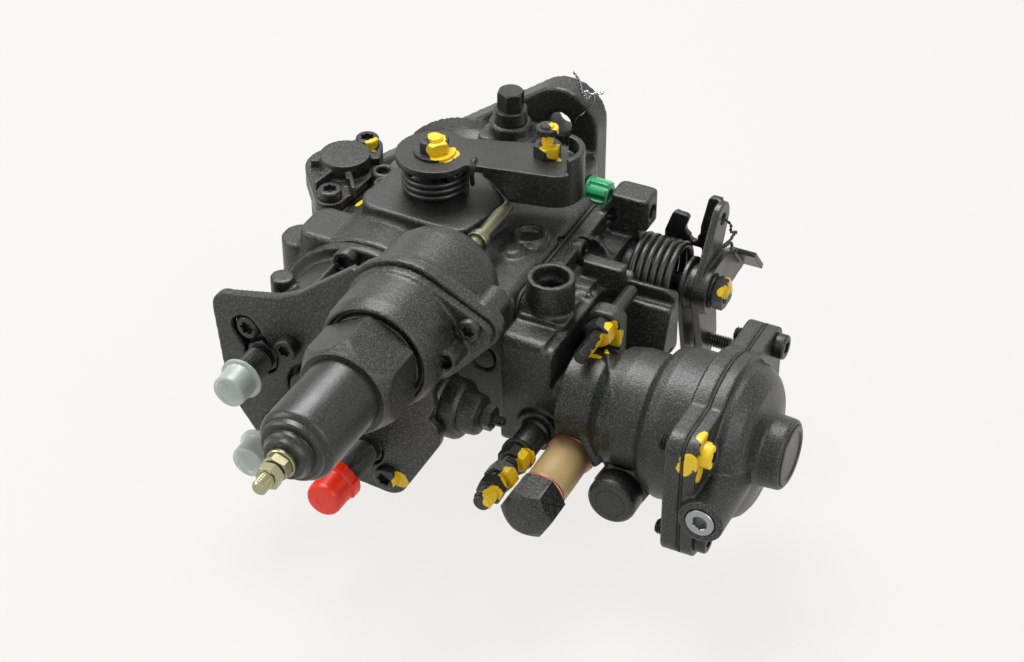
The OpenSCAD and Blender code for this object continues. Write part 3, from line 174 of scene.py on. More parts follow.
def painted(name, colour, light, rough, grit, relief):
    """Black enamel over blasted metal. Grit is the size of the dimples that the blasting leaves, and
    relief their depth: the enamel breaks up each highlight. Light is a painted glint: a greyer colour
    painted on the dimples' peaks, where they would catch the light."""
    material = bpy.data.materials.new(name)
    material.use_nodes = True
    tree = material.node_tree
    shader = tree.nodes["Principled BSDF"]
    where = add(tree, "ShaderNodeTexCoord").outputs["Object"]
    dimples = add(
        tree,
        "ShaderNodeTexNoise",
        {"Vector": where, "Scale": 1000 / grit, "Detail": 2, "Roughness": 0.6},
    )
    wave = 4.5 * grit
    waves = add(tree, "ShaderNodeTexNoise", {"Vector": where, "Scale": 1000 / wave, "Detail": 2})
    stains = add(tree, "ShaderNodeTexNoise", {"Vector": where, "Scale": 1000 / STAIN, "Detail": 5})
    # Painted glints: the light colour is painted on the peaks of the dimples, where they would catch
    # the light
    painted_glints = add(
        tree,
        "ShaderNodeMapRange",
        {"Value": dimples.outputs["Fac"], "From Min": 0.5, "From Max": 0.66},
    )
    tone = add(
        tree,
        "ShaderNodeMix",
        {"Factor": painted_glints.outputs["Result"], 6: srgb(colour), 7: srgb(light)},
        data_type="RGBA",
    ).outputs[2]
    gloss = add(
        tree,
        "ShaderNodeMapRange",
        {
            "Value": stains.outputs["Fac"],
            "From Min": 0.3,
            "From Max": 0.7,
            "To Min": rough - 0.06,
            "To Max": rough + 0.08,
        },
    ).outputs["Result"]
    height = add(
        tree,
        "ShaderNodeMath",
        {0: waves.outputs["Fac"], 1: 0.5, 2: dimples.outputs["Fac"]},
        operation="MULTIPLY_ADD",
    ).outputs[0]
    marked = splashes(tree, where)
    tone = add(
        tree,
        "ShaderNodeMix",
        {"Factor": marked, 6: tone, 7: srgb(MARK_COLOUR)},
        data_type="RGBA",
    ).outputs[2]
    height = add(tree, "ShaderNodeMath", {0: marked, 1: height}, operation="ADD").outputs[0]
    bump = add(tree, "ShaderNodeBump", {"Height": height, "Strength": 0.8, "Distance": relief * MM})
    tree.links.new(tone, shader.inputs["Base Color"])
    tree.links.new(gloss, shader.inputs["Roughness"])
    tree.links.new(bump.outputs["Normal"], shader.inputs["Normal"])
    return material


def finished(name, colour, other, rough, metallic, grit, relief, **sockets):
    """A finish of one metal, plastic or rubber: two near colours in soft clouds, gloss that follows
    them, and a fine relief whose grains are grit wide. Sockets are further values of the shader."""
    material = bpy.data.materials.new(name)
    material.use_nodes = True
    tree = material.node_tree
    shader = tree.nodes["Principled BSDF"]
    where = add(tree, "ShaderNodeTexCoord").outputs["Object"]
    grain = add(tree, "ShaderNodeTexNoise", {"Vector": where, "Scale": 1000 / grit, "Detail": 3})
    clouds = add(tree, "ShaderNodeTexNoise", {"Vector": where, "Scale": 1000 / CLOUD, "Detail": 4})
    tone = add(
        tree,
        "ShaderNodeMix",
        {"Factor": clouds.outputs["Fac"], 6: srgb(colour), 7: srgb(other)},
        data_type="RGBA",
    )
    gloss = add(
        tree,
        "ShaderNodeMapRange",
        {
            "Value": clouds.outputs["Fac"],
            "From Min": 0.3,
            "From Max": 0.7,
            "To Min": rough * 0.8,
            "To Max": rough * 1.2,
        },
    )
    bump = add(
        tree,
        "ShaderNodeBump",
        {"Height": grain.outputs["Fac"], "Strength": 0.6, "Distance": relief * MM},
    )
    tree.links.new(tone.outputs[2], shader.inputs["Base Color"])
    tree.links.new(gloss.outputs["Result"], shader.inputs["Roughness"])
    tree.links.new(bump.outputs["Normal"], shader.inputs["Normal"])
    shader.inputs["Metallic"].default_value = metallic
    for key, value in sockets.items():
        shader.inputs[key.replace("_", " ")].default_value = value
    return material


FINISH = {
    # Sand-cast aluminium, blasted and sprayed: a broken sheen, with grey glints painted on its dimples
    "black_casting": painted("enamelled_blasted_casting", "131513", "4c504b", 0.36, 0.6, 0.2),
    # Pressed and turned steel under the same spray: smoother, deeper black, with fainter painted
    # glints
    "black_steel": painted("enamelled_steel", "141614", "3c403c", 0.34, 0.6, 0.1),
    # Turned steel, unpainted: clear bright sheen
    "bare_steel": finished("turned_steel", "8d9094", "a2a5a8", 0.3, 1.0, 0.4, 0.02),
    # Sintered bronze: warm and open-grained
    "bronze": finished("sintered_bronze", "a07c46", "8c6a3a", 0.42, 1.0, 0.4, 0.04),
    # Steel in yellow chromate over zinc: straw colour with a soft shine
    "yellow_zinc": finished("yellow_zinc_plate", "b9b698", "8a866a", 0.3, 1.0, 0.5, 0.02),
    # Annealed copper ring: pink and matt
    "copper": finished("annealed_copper", "cf8f78", "b87460", 0.45, 1.0, 0.5, 0.03),
    # Paper-filled phenolic tube: dull tan with darker spots
    "tan_sleeve": finished("phenolic_tube", "c2a878", "a08657", 0.5, 0.0, 0.7, 0.05),
    # Low-density polyethylene: milky, light passes into it
    "clear_plastic": finished(
        "milky_polyethylene",
        "e6eeea",
        "dde6e2",
        0.34,
        0.0,
        3.0,
        0.02,
        Transmission_Weight=0.7,
        IOR=1.51,
    ),
    # Coloured polyethylene, moulded: even colour and a waxy shine
    "red_plastic": finished("red_polyethylene", "e62a08", "d42206", 0.36, 0.0, 0.8, 0.02),
    "green_plastic": finished("green_polyethylene", "24a266", "1b8a52", 0.38, 0.0, 0.8, 0.02),
    # Nitrile rubber: flat black
    "black_rubber": finished("nitrile_rubber", "141414", "1a1a1a", 0.7, 0.0, 0.8, 0.04),
    # Fibre gasket: brown-grey and dull
    "gasket": finished("gasket_fibre", "2a2926", "33322e", 0.8, 0.0, 0.6, 0.05),
}

SLOT_OF = {part["node"]: part["material_slot"] for part in frame["record"]["subparts"]}
for name, solid in frame["nodes"].items():
    solid.data.materials.clear()
    solid.data.materials.append(FINISH[SLOT_OF[name]])

# Surfaces: each is its points, one per row, and its faces

ROUND, HEX, STAR, KEY, GRIP, LUGS = range(6)


def hexagon(angle, across):
    """Distance from the middle of a hexagon to its edge: half its width over the cosine of the angle
    from the middle of the nearest side."""
    sixth = TURN / 6
    return across / 2 / np.cos((angle + sixth / 2) % sixth - sixth / 2)


def grid(points, ring=False):
    """A grid of points that closes round its columns. Its first and last rows get one flat face
    each, or join each other in a ring."""
    rows, sides = points.shape[:2]
    corner = np.arange(rows * sides).reshape(rows, sides)
    first, second = (corner, np.roll(corner, -1, 0)) if ring else (corner[:-1], corner[1:])
    quads = np.stack((first, np.roll(first, -1, 1), np.roll(second, -1, 1), second), -1)
    faces = quads.reshape(-1, 4).tolist()
    if not ring:
        faces += [corner[0, ::-1].tolist(), corner[-1].tolist()]
    return points.reshape(-1, 3), faces


def turned(rows, across=0.0, sides=72, ring=False):
    """A turned shape with flats or a socket. A row is a radius, a height and a form. At angle a the
    point is (r cos a, r sin a, height). r is the radius where the row is ROUND, the lesser of the
    radius and a hexagon of width across for HEX, radius x (1 + 0.14 cos 6a) for STAR, a hexagon of
    width 2 x radius for KEY, the radius with eight broad ribs for GRIP, and the radius with four
    lugs for LUGS."""
    radius, height, form = np.array([(*row, ROUND)[:3] for row in rows], float).T[:, :, None]
    angle = np.arange(sides) * TURN / sides
    choices = [
        np.minimum(radius, hexagon(angle, across or 1.0)),
        radius * (1 + 0.14 * np.cos(6 * angle)),
        hexagon(angle, 2 * radius),
        radius + 0.5 * np.clip(2.5 * np.cos(8 * angle) + 0.8, -1, 1),
        radius + 0.9 * np.clip(5 * np.cos(4 * angle) + 1.5, 0, 1),
    ]
    r = np.select([form == k for k in (HEX, STAR, KEY, GRIP, LUGS)], choices, radius + 0 * angle)
    return grid(np.stack((r * np.cos(angle), r * np.sin(angle), height + 0 * angle), -1), ring)


def threaded(radius, pitch, low, high):
    """A screw thread. At angle a and height h its radius is the full radius less 0.6 pitch times a
    wave of the phase h / pitch - a / turn, and less a bevel within 0.6 pitch of each end. Pitches
    in this file are drawn a little coarser than the real ones, so that they show."""
    height = np.linspace(low, high, int((high - low) / pitch * 8) + 1)[:, None]
    angle = np.arange(40) * TURN / 40
    wave = 0.5 - 0.5 * np.cos(TURN * (height / pitch - angle / TURN))
    end = np.minimum(height - low, high - height)
    r = np.minimum(radius - 0.6 * pitch * wave, radius - 0.6 * pitch + end)
    return grid(np.stack((r * np.cos(angle), r * np.sin(angle), height + 0 * angle), -1))


def coil(radius, wire, turns, low, high):
    """Spring wire of round section: along the coil at angle t the middle of the wire is
    (radius cos t, radius sin t), rising evenly from low to high."""
    t = np.linspace(0, TURN * turns, int(60 * turns))[:, None]
    b = np.arange(14) * TURN / 14
    reach = radius + wire / 2 * np.cos(b)
    height = low + wire / 2 + (high - low - wire) * t / t.max() + wire / 2 * np.sin(b)
    points = np.stack((reach * np.cos(t), reach * np.sin(t), height), -1)
    return grid(points[:, ::-1])


def wire(points, radius, normal, phase=None, pitch=3.2):
    """Round wire along points that lie near the plane whose normal is given, its corners rounded.
    Where a phase is given, it winds about them at its own radius once each pitch, so that two wires
    whose phases differ by half a turn lie twisted together."""
    points = np.array(points, float)
    many = np.linspace(0, len(points) - 1, 8 * len(points))
    path = np.stack([np.interp(many, range(len(points)), points[:, k]) for k in range(3)], -1)
    for _ in range(6):
        path[1:-1] = (path[:-2] + 2 * path[1:-1] + path[2:]) / 4
    ahead = np.gradient(path, axis=0)
    step = np.linalg.norm(ahead, axis=1)
    ahead /= step[:, None]
    side = np.cross(ahead, np.array(normal, float))
    side /= np.linalg.norm(side, axis=1)[:, None]
    over = np.cross(ahead, side)
    if phase is not None:
        turn = TURN * (phase + np.cumsum(step) / pitch)[:, None]
        path = path + radius * (np.cos(turn) * side + np.sin(turn) * over)
    b = np.arange(8)[:, None] * TURN / 8
    return grid(path[:, None] + radius * (np.cos(b) * side[:, None] + np.sin(b) * over[:, None]))


def prism(outline, low, high, axis):
    """An outline, anticlockwise, carried from low to high. It is given in Y and Z along x, in X and Z
    along y, and in X and Y along z."""
    flat = np.array(outline, float)
    ends = (high, low) if axis == "y" else (low, high)
    order = {"x": (2, 0, 1), "y": (0, 2, 1), "z": (0, 1, 2)}[axis]
    rows = np.stack([np.column_stack((flat, np.full(len(flat), end)))[:, order] for end in ends])
    return grid(rows)


def bar(start, end, half, low, high):
    """An upright rib between two points of a plan, as thick as twice half, from low to high."""
    start, end = np.array(start, float), np.array(end, float)
    across = half * np.array((start[1] - end[1], end[0] - start[0])) / np.linalg.norm(end - start)
    return prism([start - across, end - across, end + across, start + across], low, high, "z")


def placed(surface, at, up, spin=0.0):
    """The surface turned so that its height points along up, spun about that by degrees, and set
    down with its zero at a point."""
    up = np.array(up, float) / np.linalg.norm(up)
    first = np.cross((0, 0, 1), up) if abs(up[2]) < 0.9 else np.array((1.0, 0, 0))
    first /= np.linalg.norm(first)
    second = np.cross(up, first)
    a = math.radians(spin)
    ahead = first * math.cos(a) + second * math.sin(a)
    aside = second * math.cos(a) - first * math.sin(a)
    return surface[0] @ np.stack((ahead, aside, up)) + np.array(at, float), surface[1]


def build_mesh(name, surfaces):
    """One mesh in metres from surfaces in millimetres."""
    starts = np.cumsum([0] + [len(points) for points, _ in surfaces])
    points = np.concatenate([points for points, _ in surfaces]) * MM
    faces = [
        [corner + start for corner in face]
        for start, (_, own) in zip(starts, surfaces)
        for face in own
    ]
    mesh = bpy.data.meshes.new(name)
    mesh.from_pydata(points.tolist(), [], faces)
    return mesh


def piece(name, mesh, body, slot, *nodes):
    """The mesh as a piece that moves with a body, takes a slot's finish and stands for CAD nodes."""
    made = bpy.data.objects.new(name, mesh)
    bpy.context.scene.collection.objects.link(made)
    mesh.materials.append(FINISH[slot])
    if body:
        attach(made, body)
    if nodes:
        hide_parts(*nodes)
    return made


def machined(name, surfaces, body, slot, *nodes):
    """A piece with crisp edges: faces that meet at more than 32 degrees keep their edge."""
    mesh = build_mesh(name, surfaces)
    mesh.polygons.foreach_set("use_smooth", np.ones(len(mesh.polygons), bool))
    mesh.set_sharp_from_angle(angle=math.radians(32))
    return piece(name, mesh, body, slot, *nodes)


def result_of(made, kind, **settings):
    """The mesh that a modifier makes of an object."""
    change = made.modifiers.new(kind.lower(), kind)
    for key, value in settings.items():
        setattr(change, key, value)
    bpy.context.view_layer.update()
    mesh = bpy.data.meshes.new_from_object(made.evaluated_get(bpy.context.evaluated_depsgraph_get()))
    made.modifiers.remove(change)
    return mesh


def relax(mesh, passes, back):
    """Rounds edges: in each pass every point goes 0.6 of the way to the mean of its neighbours, and
    then the share back of that way outwards again, so that thin walls keep their size."""
    count = len(mesh.vertices)
    points, edges = np.empty(count * 3, np.float32), np.empty(len(mesh.edges) * 2, np.int32)
    mesh.vertices.foreach_get("co", points)
    mesh.edges.foreach_get("vertices", edges)
    points, edges = points.reshape(-1, 3).astype(float), edges.reshape(-1, 2)
    here = np.concatenate((edges[:, 0], edges[:, 1]))
    there = np.concatenate((edges[:, 1], edges[:, 0]))
    neighbours = np.bincount(here, minlength=count)[:, None]
    for _ in range(passes):
        for weight in (0.6, -0.6 * back):
            sums = [np.bincount(here, points[there, k], count) for k in range(3)]
            points += weight * (np.stack(sums, -1) / neighbours - points)
    mesh.vertices.foreach_set("co", points.astype(np.float32).ravel())


def cast(name, node, body, slot, voxel, passes=3, back=0.5, share=1.0, ribs=(), cut=None):
    """A piece with the rounded edges of a casting or pressing: the node's solid and the ribs given,
    less a cut, become one skin of quads as wide as voxel, which is relaxed. Share is how many of its
    triangles are kept."""
    mesh = frame["nodes"][node].data.copy()
    shell = bmesh.new()
    shell.from_mesh(mesh)
    bmesh.ops.remove_doubles(shell, verts=shell.verts, dist=1e-6)
    if ribs:
        shell.from_mesh(build_mesh("ribs", ribs))
    shell.to_mesh(mesh)
    shell.free()
    mesh.materials.clear()
    rough = bpy.data.objects.new("rough", mesh)
    bpy.context.scene.collection.objects.link(rough)
    if cut:
        tool = bpy.data.objects.new("tool", build_mesh("tool", [cut]))
        bpy.context.scene.collection.objects.link(tool)
        rough.data = result_of(rough, "BOOLEAN", operation="DIFFERENCE", solver="EXACT", object=tool)
        bpy.data.objects.remove(tool)
    skin = result_of(rough, "REMESH", mode="VOXEL", voxel_size=voxel * MM, adaptivity=0.0)
    relax(skin, passes, back)
    if share < 1:
        rough.data = skin
        skin = result_of(rough, "DECIMATE", ratio=share)
    bpy.data.objects.remove(rough)
    skin.materials.clear()
    skin.polygons.foreach_set("use_smooth", np.ones(len(skin.polygons), bool))
    skin.name = name
    return piece(name, skin, body, slot, node)


# Castings and pressings, from the solids

# Hollow boss beside the timing cover
nub_rows = [(5.4, 16), (5.2, 35.6), (4.6, 36.6), (3.4, 36.8), (3, 36.2, STAR), (2.9, 31, STAR)]
nub = placed(turned(nub_rows), (-23.2, -56.8, 0), UP)
cast("housing_casting", "pump_housing", "housing", "black_casting", 0.95, share=0.55, ribs=[nub])
# Rib that runs down the bell, strut beside the sleeve and ring round the ball plug
BALL_X, BALL_Y = 84.6, -85.4
bell_rib = [(101, -106, 17), (105, -113, 20.5), (111, -124, 21.5), (116, -133, 17), (116.4, -138, 10)]
bell_rib += [(114, -139.5, 4), (114, -138.5, -8)]
strut = [(100.5, -128, 0), (101.5, -132.5, -2), (112.5, -137.5, -13.5), (113, -137.6, -14)]
ring_rows = [(2.6, 0), (3.6, 0), (3.6, 0.7), (3.3, 1), (2.8, 1), (2.6, 0.7)]
ball_ring = placed(turned(ring_rows, ring=True), (BALL_X, BALL_Y, 23.6), UP)
cover_ribs = [wire(bell_rib, 1.0, ALONG_X), wire(strut, 2.0, UP), ball_ring]
cast("cover_casting", "governor_cover", "housing", "black_casting", 0.7, share=0.55, ribs=cover_ribs)
cast("boost_cap_casting", "boost_cover", "housing", "black_casting", 0.6, share=0.8)
# Lug behind the plate's slot
SLOT_X, SLOT_Z = -29.4, 20.4
lug = placed(turned([(6.8, 0), (6.8, 8)]), (SLOT_X, -148, SLOT_Z), BACK)
cast("head_casting", "distributor_head", "housing", "black_casting", 0.9, share=0.8, ribs=[lug])
# Slot round the plate's upper left screw, down to the first outlet: a half circle at each end
LOW_X, LOW_Z, SLOT_R = -22.5, 10.5, 6
runs_down = math.atan2(LOW_Z - SLOT_Z, LOW_X - SLOT_X)
slot = [
    (x + SLOT_R * math.cos(a), z + SLOT_R * math.sin(a))
    for x, z, half in ((LOW_X, LOW_Z, 0), (SLOT_X, SLOT_Z, math.pi))
    for a in np.radians(np.linspace(-90, 90, 13)) + runs_down + half
]
slot_cut = prism(slot, -162, -155, "y")
cast("bracket_sheet", "bracket_plate", "housing", "black_casting", 0.55, passes=2, cut=slot_cut)
cast("actuator_dome", "wax_dome", "housing", "black_casting", 0.6)
cast("actuator_body", "wax_body", "housing", "black_casting", 0.6)
# Ribs from the timing cover's middle to its rim, on either side of the low screw
timing_ribs = [
    bar(start, end, 0.9, *heights)
    for start, end in (((-40.6, -66), (-42.6, -80)), ((-35, -65), (-26, -77)))
    for heights in ((33, 38.4), (-38.4, -33))
]
cast("timing_caps", "timing_covers", "housing", "black_casting", 0.45, passes=2, ribs=timing_ribs)
# Upturned rim round the stop screw's end of the lever, the leg of the spring that hooks over its edge,
# and the wave in which its skirt starts: half a cosine from the plate down to the full depth
around = np.radians(np.linspace(-38, 82, 25))
rim = [
    (56 + r * math.cos(a), -57 + r * math.sin(a))
    for r, run in ((12, around), (9.4, around[::-1]))
    for a in run
]
leg = [(27, -70.5, 64), (27.6, -73.2, 64), (27.8, -74.8, 62.5), (27.6, -75, 58), (26.5, -72, 52)]
WAVE_FROM, WAVE_TO = 33, 44
wave = [
    (x, 53 + 5 * math.cos(math.pi * (x - WAVE_FROM) / (WAVE_TO - WAVE_FROM)))
    for x in np.linspace(WAVE_TO, WAVE_FROM, 12)
]
under = [(WAVE_FROM - 3, 44), (WAVE_TO, 44), *wave, (WAVE_FROM - 3, 58)]
cast(
    "cold_start_arm",
    "cold_start_lever",
    "cold_lever",
    "black_steel",
    0.42,
    passes=2,
    ribs=[prism(rim, 61, 69.5, "z"), wire(leg, 1.1, ALONG_X)],
    cut=prism(under, -80, -62, "y"),
)
cast("throttle_arm", "throttle_lever", "throttle", "black_steel", 0.4, passes=2)

ball_rows = [(1.9 * math.sin(0.15 * k), -1.9 * math.cos(0.15 * k)) for k in range(1, 21)]
ball = placed(turned(ball_rows, sides=32), (BALL_X, BALL_Y, 23.2), UP)
machined("cover_ball", [ball], "housing", "black_steel")

# Timing piston's spring: a coil from the piston's end up to the cover
PISTON_END, COVER_END = (-41.5, -58, 20), (-41.5, -58, 30)
timing_coil = machined(
    "timing_coil",
    [placed(coil(6.5, 1.8, 3, 0, COVER_END[2] - PISTON_END[2]), PISTON_END, UP)],
    None,
    "bare_steel",
    "timing_spring",
)
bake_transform(timing_coil)

# Cold-start actuator


def nut(across, low, high, bore):
    """A hexagon nut on a bore: six flats, cut at both ends by a cone that starts at the flats'
    width and drops 30 degrees."""
    corner, drop = across / 2 / math.cos(TURN / 12), 0.045 * across
    cone = [(across / 2 - 0.1 + (corner - across / 2 + 0.1) * k / 4, drop * k / 4) for k in range(5)]
    rows = [(r, low + h, HEX) for r, h in cone] + [(r, high - h, HEX) for r, h in reversed(cone)]
    rows += [(bore + 0.35, high), (bore, high - 0.35), (bore, low + 0.35), (bore + 0.35, low)]
    return turned(rows, across, 96, ring=True)


def head(radius, height, form=STAR, share=0.52):
    """A screw head with a rounded rim and a socket, its seat at height 0."""
    deep = max(height - 2.4, 0.6)
    rows = [(radius - 0.2, 0), (radius, 0.25), (radius, height - 0.9), (radius - 0.15, height - 0.45)]
    rows += [(radius - 0.45, height - 0.15), (radius - 0.9, height)]
    rows += [(radius * share + 0.25, height, form), (radius * share, height - 0.25, form)]
    rows += [(radius * share * 0.96, deep, form)]
    return turned(rows, sides=96)


def shank(radius, low, high):
    """A plain screw body."""
    return turned([(radius, low), (radius, high)], sides=32)


ROD_X, ROD_Z = 43, 47
hex_rows = [(15.05, 0), (17.2, 0), (17.6, 0.5)]
hex_rows += [(17.8 + 0.5 * k, 1 + 0.9 * k, HEX) for k in range(7)]
hex_rows += [(20.8 - 0.56 * k, 21.6 + 0.36 * k, HEX) for k in range(5)] + [(15.05, 23.2)]
machined(
    "actuator_nut",
    [placed(turned(hex_rows, 36, 120, ring=True), (ROD_X, -209.4, ROD_Z), ALONG_Y, 0)],
    "housing",
    "black_casting",
    "wax_nut",
)
element_rows = [(14.4, 0), (15, 0.6), (15, 82), (14.7, 83), (13.6, 84.3), (12.9, 84.6), (12.7, 85.4)]
element_rows += [(12.5, 86.4), (11.8, 87), (10, 87.1), (9.8, 87.6), (9.7, 89), (9, 89.6), (8.6, 90.4)]
element_rows += [(8.2, 91.6), (7.6, 92), (3.05, 92)]
machined(
    "actuator_element",
    [placed(turned(element_rows, sides=96), (ROD_X, -159, ROD_Z), BACK)],
    "housing",
    "black_steel",
    "wax_element",
)
STUD = (ROD_X, -251, ROD_Z)
stud_rows = [(3.1, 0), (5.5, 0), (5.7, 0.2), (5.7, 1.7), (5.4, 2), (3.1, 2)]
machined(
    "actuator_stud",
    [
        placed(threaded(2.9, 1.1, -9, 17), STUD, BACK),
        placed(turned(stud_rows, ring=True), STUD, BACK),
        placed(nut(9.2, 2, 6, 2.7), STUD, BACK, 12),
        placed(nut(8.6, 7, 11, 2.7), STUD, BACK, 40),
    ],
    "housing",
    "yellow_zinc",
    "terminal_stud",
)
rod_rows = [(2.6, 0), (3, 0.5), (3, 50), (4.3, 50.2), (4.5, 50.5), (4.5, 53.4), (4.2, 53.8), (3, 54)]
rod_rows += [(3, 72), (2.2, 77), (2.3, 79.2)]
rod = machined(
    "cold_start_rod",
    [placed(turned(rod_rows, sides=48), (ROD_X, -152, ROD_Z), ALONG_Y)],
    "rod",
    "yellow_zinc",
    "push_rod",
)
# The same plating under oil and dust: greyer and duller
rod.data.materials[0] = finished("oiled_zinc_plate", "97957f", "6c6a5a", 0.38, 1.0, 0.5, 0.03)

# Cold-start lever's pivot, spring and stop screw

PIVOT = (9.5, -72, 0)
pivot_rows = [(4, 63), (8.4, 63), (8.6, 63.2), (8.6, 64), (8.3, 64.2), (4, 64.2)]
machined(
    "pivot_bolt",
    [
        placed(shank(5, 37, 63.4), PIVOT, UP),
        placed(turned(pivot_rows, ring=True), PIVOT, UP),
        placed(nut(11, 64.2, 69, 3.4), PIVOT, UP, 20),
        placed(threaded(3.6, 1.1, 63.5, 70.2), PIVOT, UP),
    ],
    "housing",
    "black_steel",
    "cold_start_shaft",
)
machined(
    "cold_start_coil",
    [placed(coil(12.5, 2.6, 3.5, 45, 57.5), PIVOT, UP)],
    "housing",
    "black_steel",
    "cold_start_spring",
)
STOP = (51, -54, 0)
stop_rows = [(2.8, 73), (4.2, 73), (4.5, 73.3), (4.5, 75.6), (4.1, 76), (2.8, 76)]
machined(
    "stop_bolt",
    [
        placed(threaded(3, 1.1, 54, 77), STOP, UP),
        placed(nut(10, 63, 68, 2.8), STOP, UP, 10),
        placed(turned(stop_rows, ring=True), STOP, UP),
    ],
    "cold_lever",
    "black_steel",
    "stop_screw",
)

# Screws with sockets

timing_screws = [
    placed(surface, (x, y, 0), (0, 0, side))
    for x, y in ((-40.5, -39), (-35, -81))
    for side in (1, -1)
    for surface in (shank(3, 25, 34), placed(head(5, 4), (0, 0, 34), UP))
]
machined("timing_bolts", timing_screws, "housing", "black_steel", "timing_cover_screws")
cover_bolts = [
    placed(surface, (69, y, z), ALONG_X)
    for y, z in ((-66, 29.5), (-88, 29.5), (-42, -29.5), (-104, -29.5))
    for surface in (shank(3, -15, 0), head(5, 4.5))
]
machined("cover_bolts", cover_bolts, "housing", "black_steel", "cover_screws")
boost_bolts = [
    placed(surface, (161.5, -116 + 37 * i, 20.5 * j), ALONG_X)
    for i in (-1, 1)
    for j in (-1, 1)
    for surface in (threaded(3, 1.1, -17, 0), head(5, 4.5))
]
machined("boost_bolts", boost_bolts, "housing", "black_steel", "boost_screws")
head_bolts = [
    placed(surface, (35.2 * math.cos(math.radians(a)), -117, 35.2 * math.sin(math.radians(a))), BACK)
    for a in (100, 180, 260, 350)
    for surface in (shank(3, -14, 0), head(5, 5))
]
machined("head_bolts", head_bolts, "housing", "black_steel", "head_screws")
plate_bolts = [
    placed(surface, (x, y, z), BACK)
    for x, y, z, radius, height in (
        (-29, -156.4, 20, 5, 3),
        (32, -160, -32, 5, 3),
        (-9, -160, 19, 4.6, 5),
        (72, -164, 56, 4.4, 3),
    )
    for surface in (shank(3, -13, 0), head(radius, height))
]
machined("plate_bolts", plate_bolts, "housing", "black_steel", "plate_screws")
LOCK = (23, -30, 0)
lock_rows = [(5, 42.5), (5, 58.4), (6.7, 58.5), (7, 58.8), (7, 64), (6.6, 64.5), (5, 64.6)]
lock_rows += [(4.7 + 0.27 * k, 64.7 + 0.12 * k, HEX) for k in range(5)]
lock_rows += [(5.8 - 0.22 * k, 71.6 + 0.22 * k, HEX) for k in range(5)]
machined(
    "lock_bolt_head",
    [placed(turned(lock_rows, 10, 96), LOCK, UP, 10)],
    "housing",
    "black_steel",
    "lock_bolt",
)

# Distributor head: outlets, caps and the middle plug

OUTLETS = [(-23, 8, 22), (-17, -25, 22), (22.95, -22, 31), (18.9, 18, 22)]


def outlet(x, z, reach):
    """A delivery union: a hexagon in the head, a thread, and a cone for the pipe."""
    rows = [(5.2, reach - 7.5), (5.6, reach - 7.2), (5.6, reach - 0.6), (5, reach)]
    cone = turned(rows + [(4, reach), (1.2, reach - 5)], sides=48)
    thread = threaded(6, 1.5, 1, reach - 7)
    surfaces = (nut(13, -4, -1, 5), shank(5.6, -17, 1), thread, cone)
    return [placed(surface, (x, -160, z), BACK) for surface in surfaces]


unions = [surface for x, z, reach in OUTLETS for surface in outlet(x, z, reach)]
machined("delivery_unions", unions, "housing", "black_steel", "delivery_valves")


def cap(skirt, nose, length, root):
    """A moulded cap as one wall: up the bore, round the rim, and out over the skirt and the nose."""
    end = root + length
    rows = [(2, end - 1.6), (5.4, end - 1.6), (6.05, end - 2.2), (6.05, root + 0.2), (6.3, root)]
    rows += [(skirt - 0.3, root), (skirt, root + 0.3), (skirt, root + 1.1), (skirt - 0.3, root + 1.4)]
    rows += [(nose + 0.9, root + 1.7), (nose + 0.6, root + 2.4), (nose + 0.35, end - 1.4)]
    rows += [(nose + 0.1, end - 0.6), (nose - 0.5, end - 0.15), (nose - 1.1, end), (nose - 2.2, end)]
    rows += [(nose - 2.6, end - 0.35), (2, end - 0.35)]
    return turned(rows, sides=96)


clear = [placed(cap(8.8, 6.6, 11, 14), (x, -160, z), BACK) for x, z, _ in OUTLETS[:2]]
machined("milky_caps", clear, "housing", "clear_plastic", "clear_caps")
red_rows = [(2, 30.4), (5.4, 30.4), (6.05, 29.8), (6.05, 17.2), (6.3, 17), (7.6, 17)]
red_rows += [(7.8, 17.2, LUGS), (7.7, 21.6, LUGS), (7.5, 22), (7.4, 22.3), (7.3, 29.8)]
red_rows += [(7.1, 30.9), (6.6, 31.7), (5.8, 32), (2.6, 32), (2.3, 31.8), (1, 31.8)]
machined(
    "red_plug_cap",
    [placed(turned(red_rows, sides=96), (22.95, -163, -22), BACK)],
    "housing",
    "red_plastic",
    "red_cap",
)
plug_rows = [(9.5, -12), (9.5, 1), (9.2, 1.7), (8.6, 2), (7.2, 2), (6.6, 1.5), (5.3, 1.3)]
plug_rows += [(5, 1, KEY), (4.9, -3, KEY)]
machined(
    "middle_plug",
    [placed(turned(plug_rows, sides=96), (0, -160, 0), BACK)],
    "housing",
    "black_steel",
    "head_plug",
)

# Sealing cap over the end of the governor shaft
seal = turned([(4.9, 0.2), (4.9, 0.8), (4.4, 1.3), (0.5, 1.5)], sides=48)
machined("shaft_end_cap", [placed(seal, (51, -111, 0), BACK)], "housing", "black_casting")

# Shut-off solenoid

SOLENOID = (39, -142, -3)
solenoid_rows = [(9, -13), (9, -0.1), (13, 0), (13.4, 0.4), (13.4, 10.4), (13, 11.2), (12.3, 12)]
solenoid_rows += [(12.2, 17.4), (11.6, 18.8), (10.8, 19.5), (9, 19.6), (8.8, 20.2), (8.4, 25)]
solenoid_rows += [(7.8, 26.2), (6, 27.2), (5.4, 27.5), (2.1, 27.5)]
machined(
    "solenoid_can",
    [placed(turned(solenoid_rows, sides=96), SOLENOID, ALONG_X)],
    "housing",
    "black_casting",
    "solenoid_body",
)
machined(
    "solenoid_screw",
    [
        placed(threaded(2, 0.9, 19, 36), SOLENOID, ALONG_X),
        placed(nut(9, 27.5, 31.5, 1.9), SOLENOID, ALONG_X, 30),
    ],
    "housing",
    "black_steel",
    "solenoid_terminal",
)

# Fuel inlet's cap

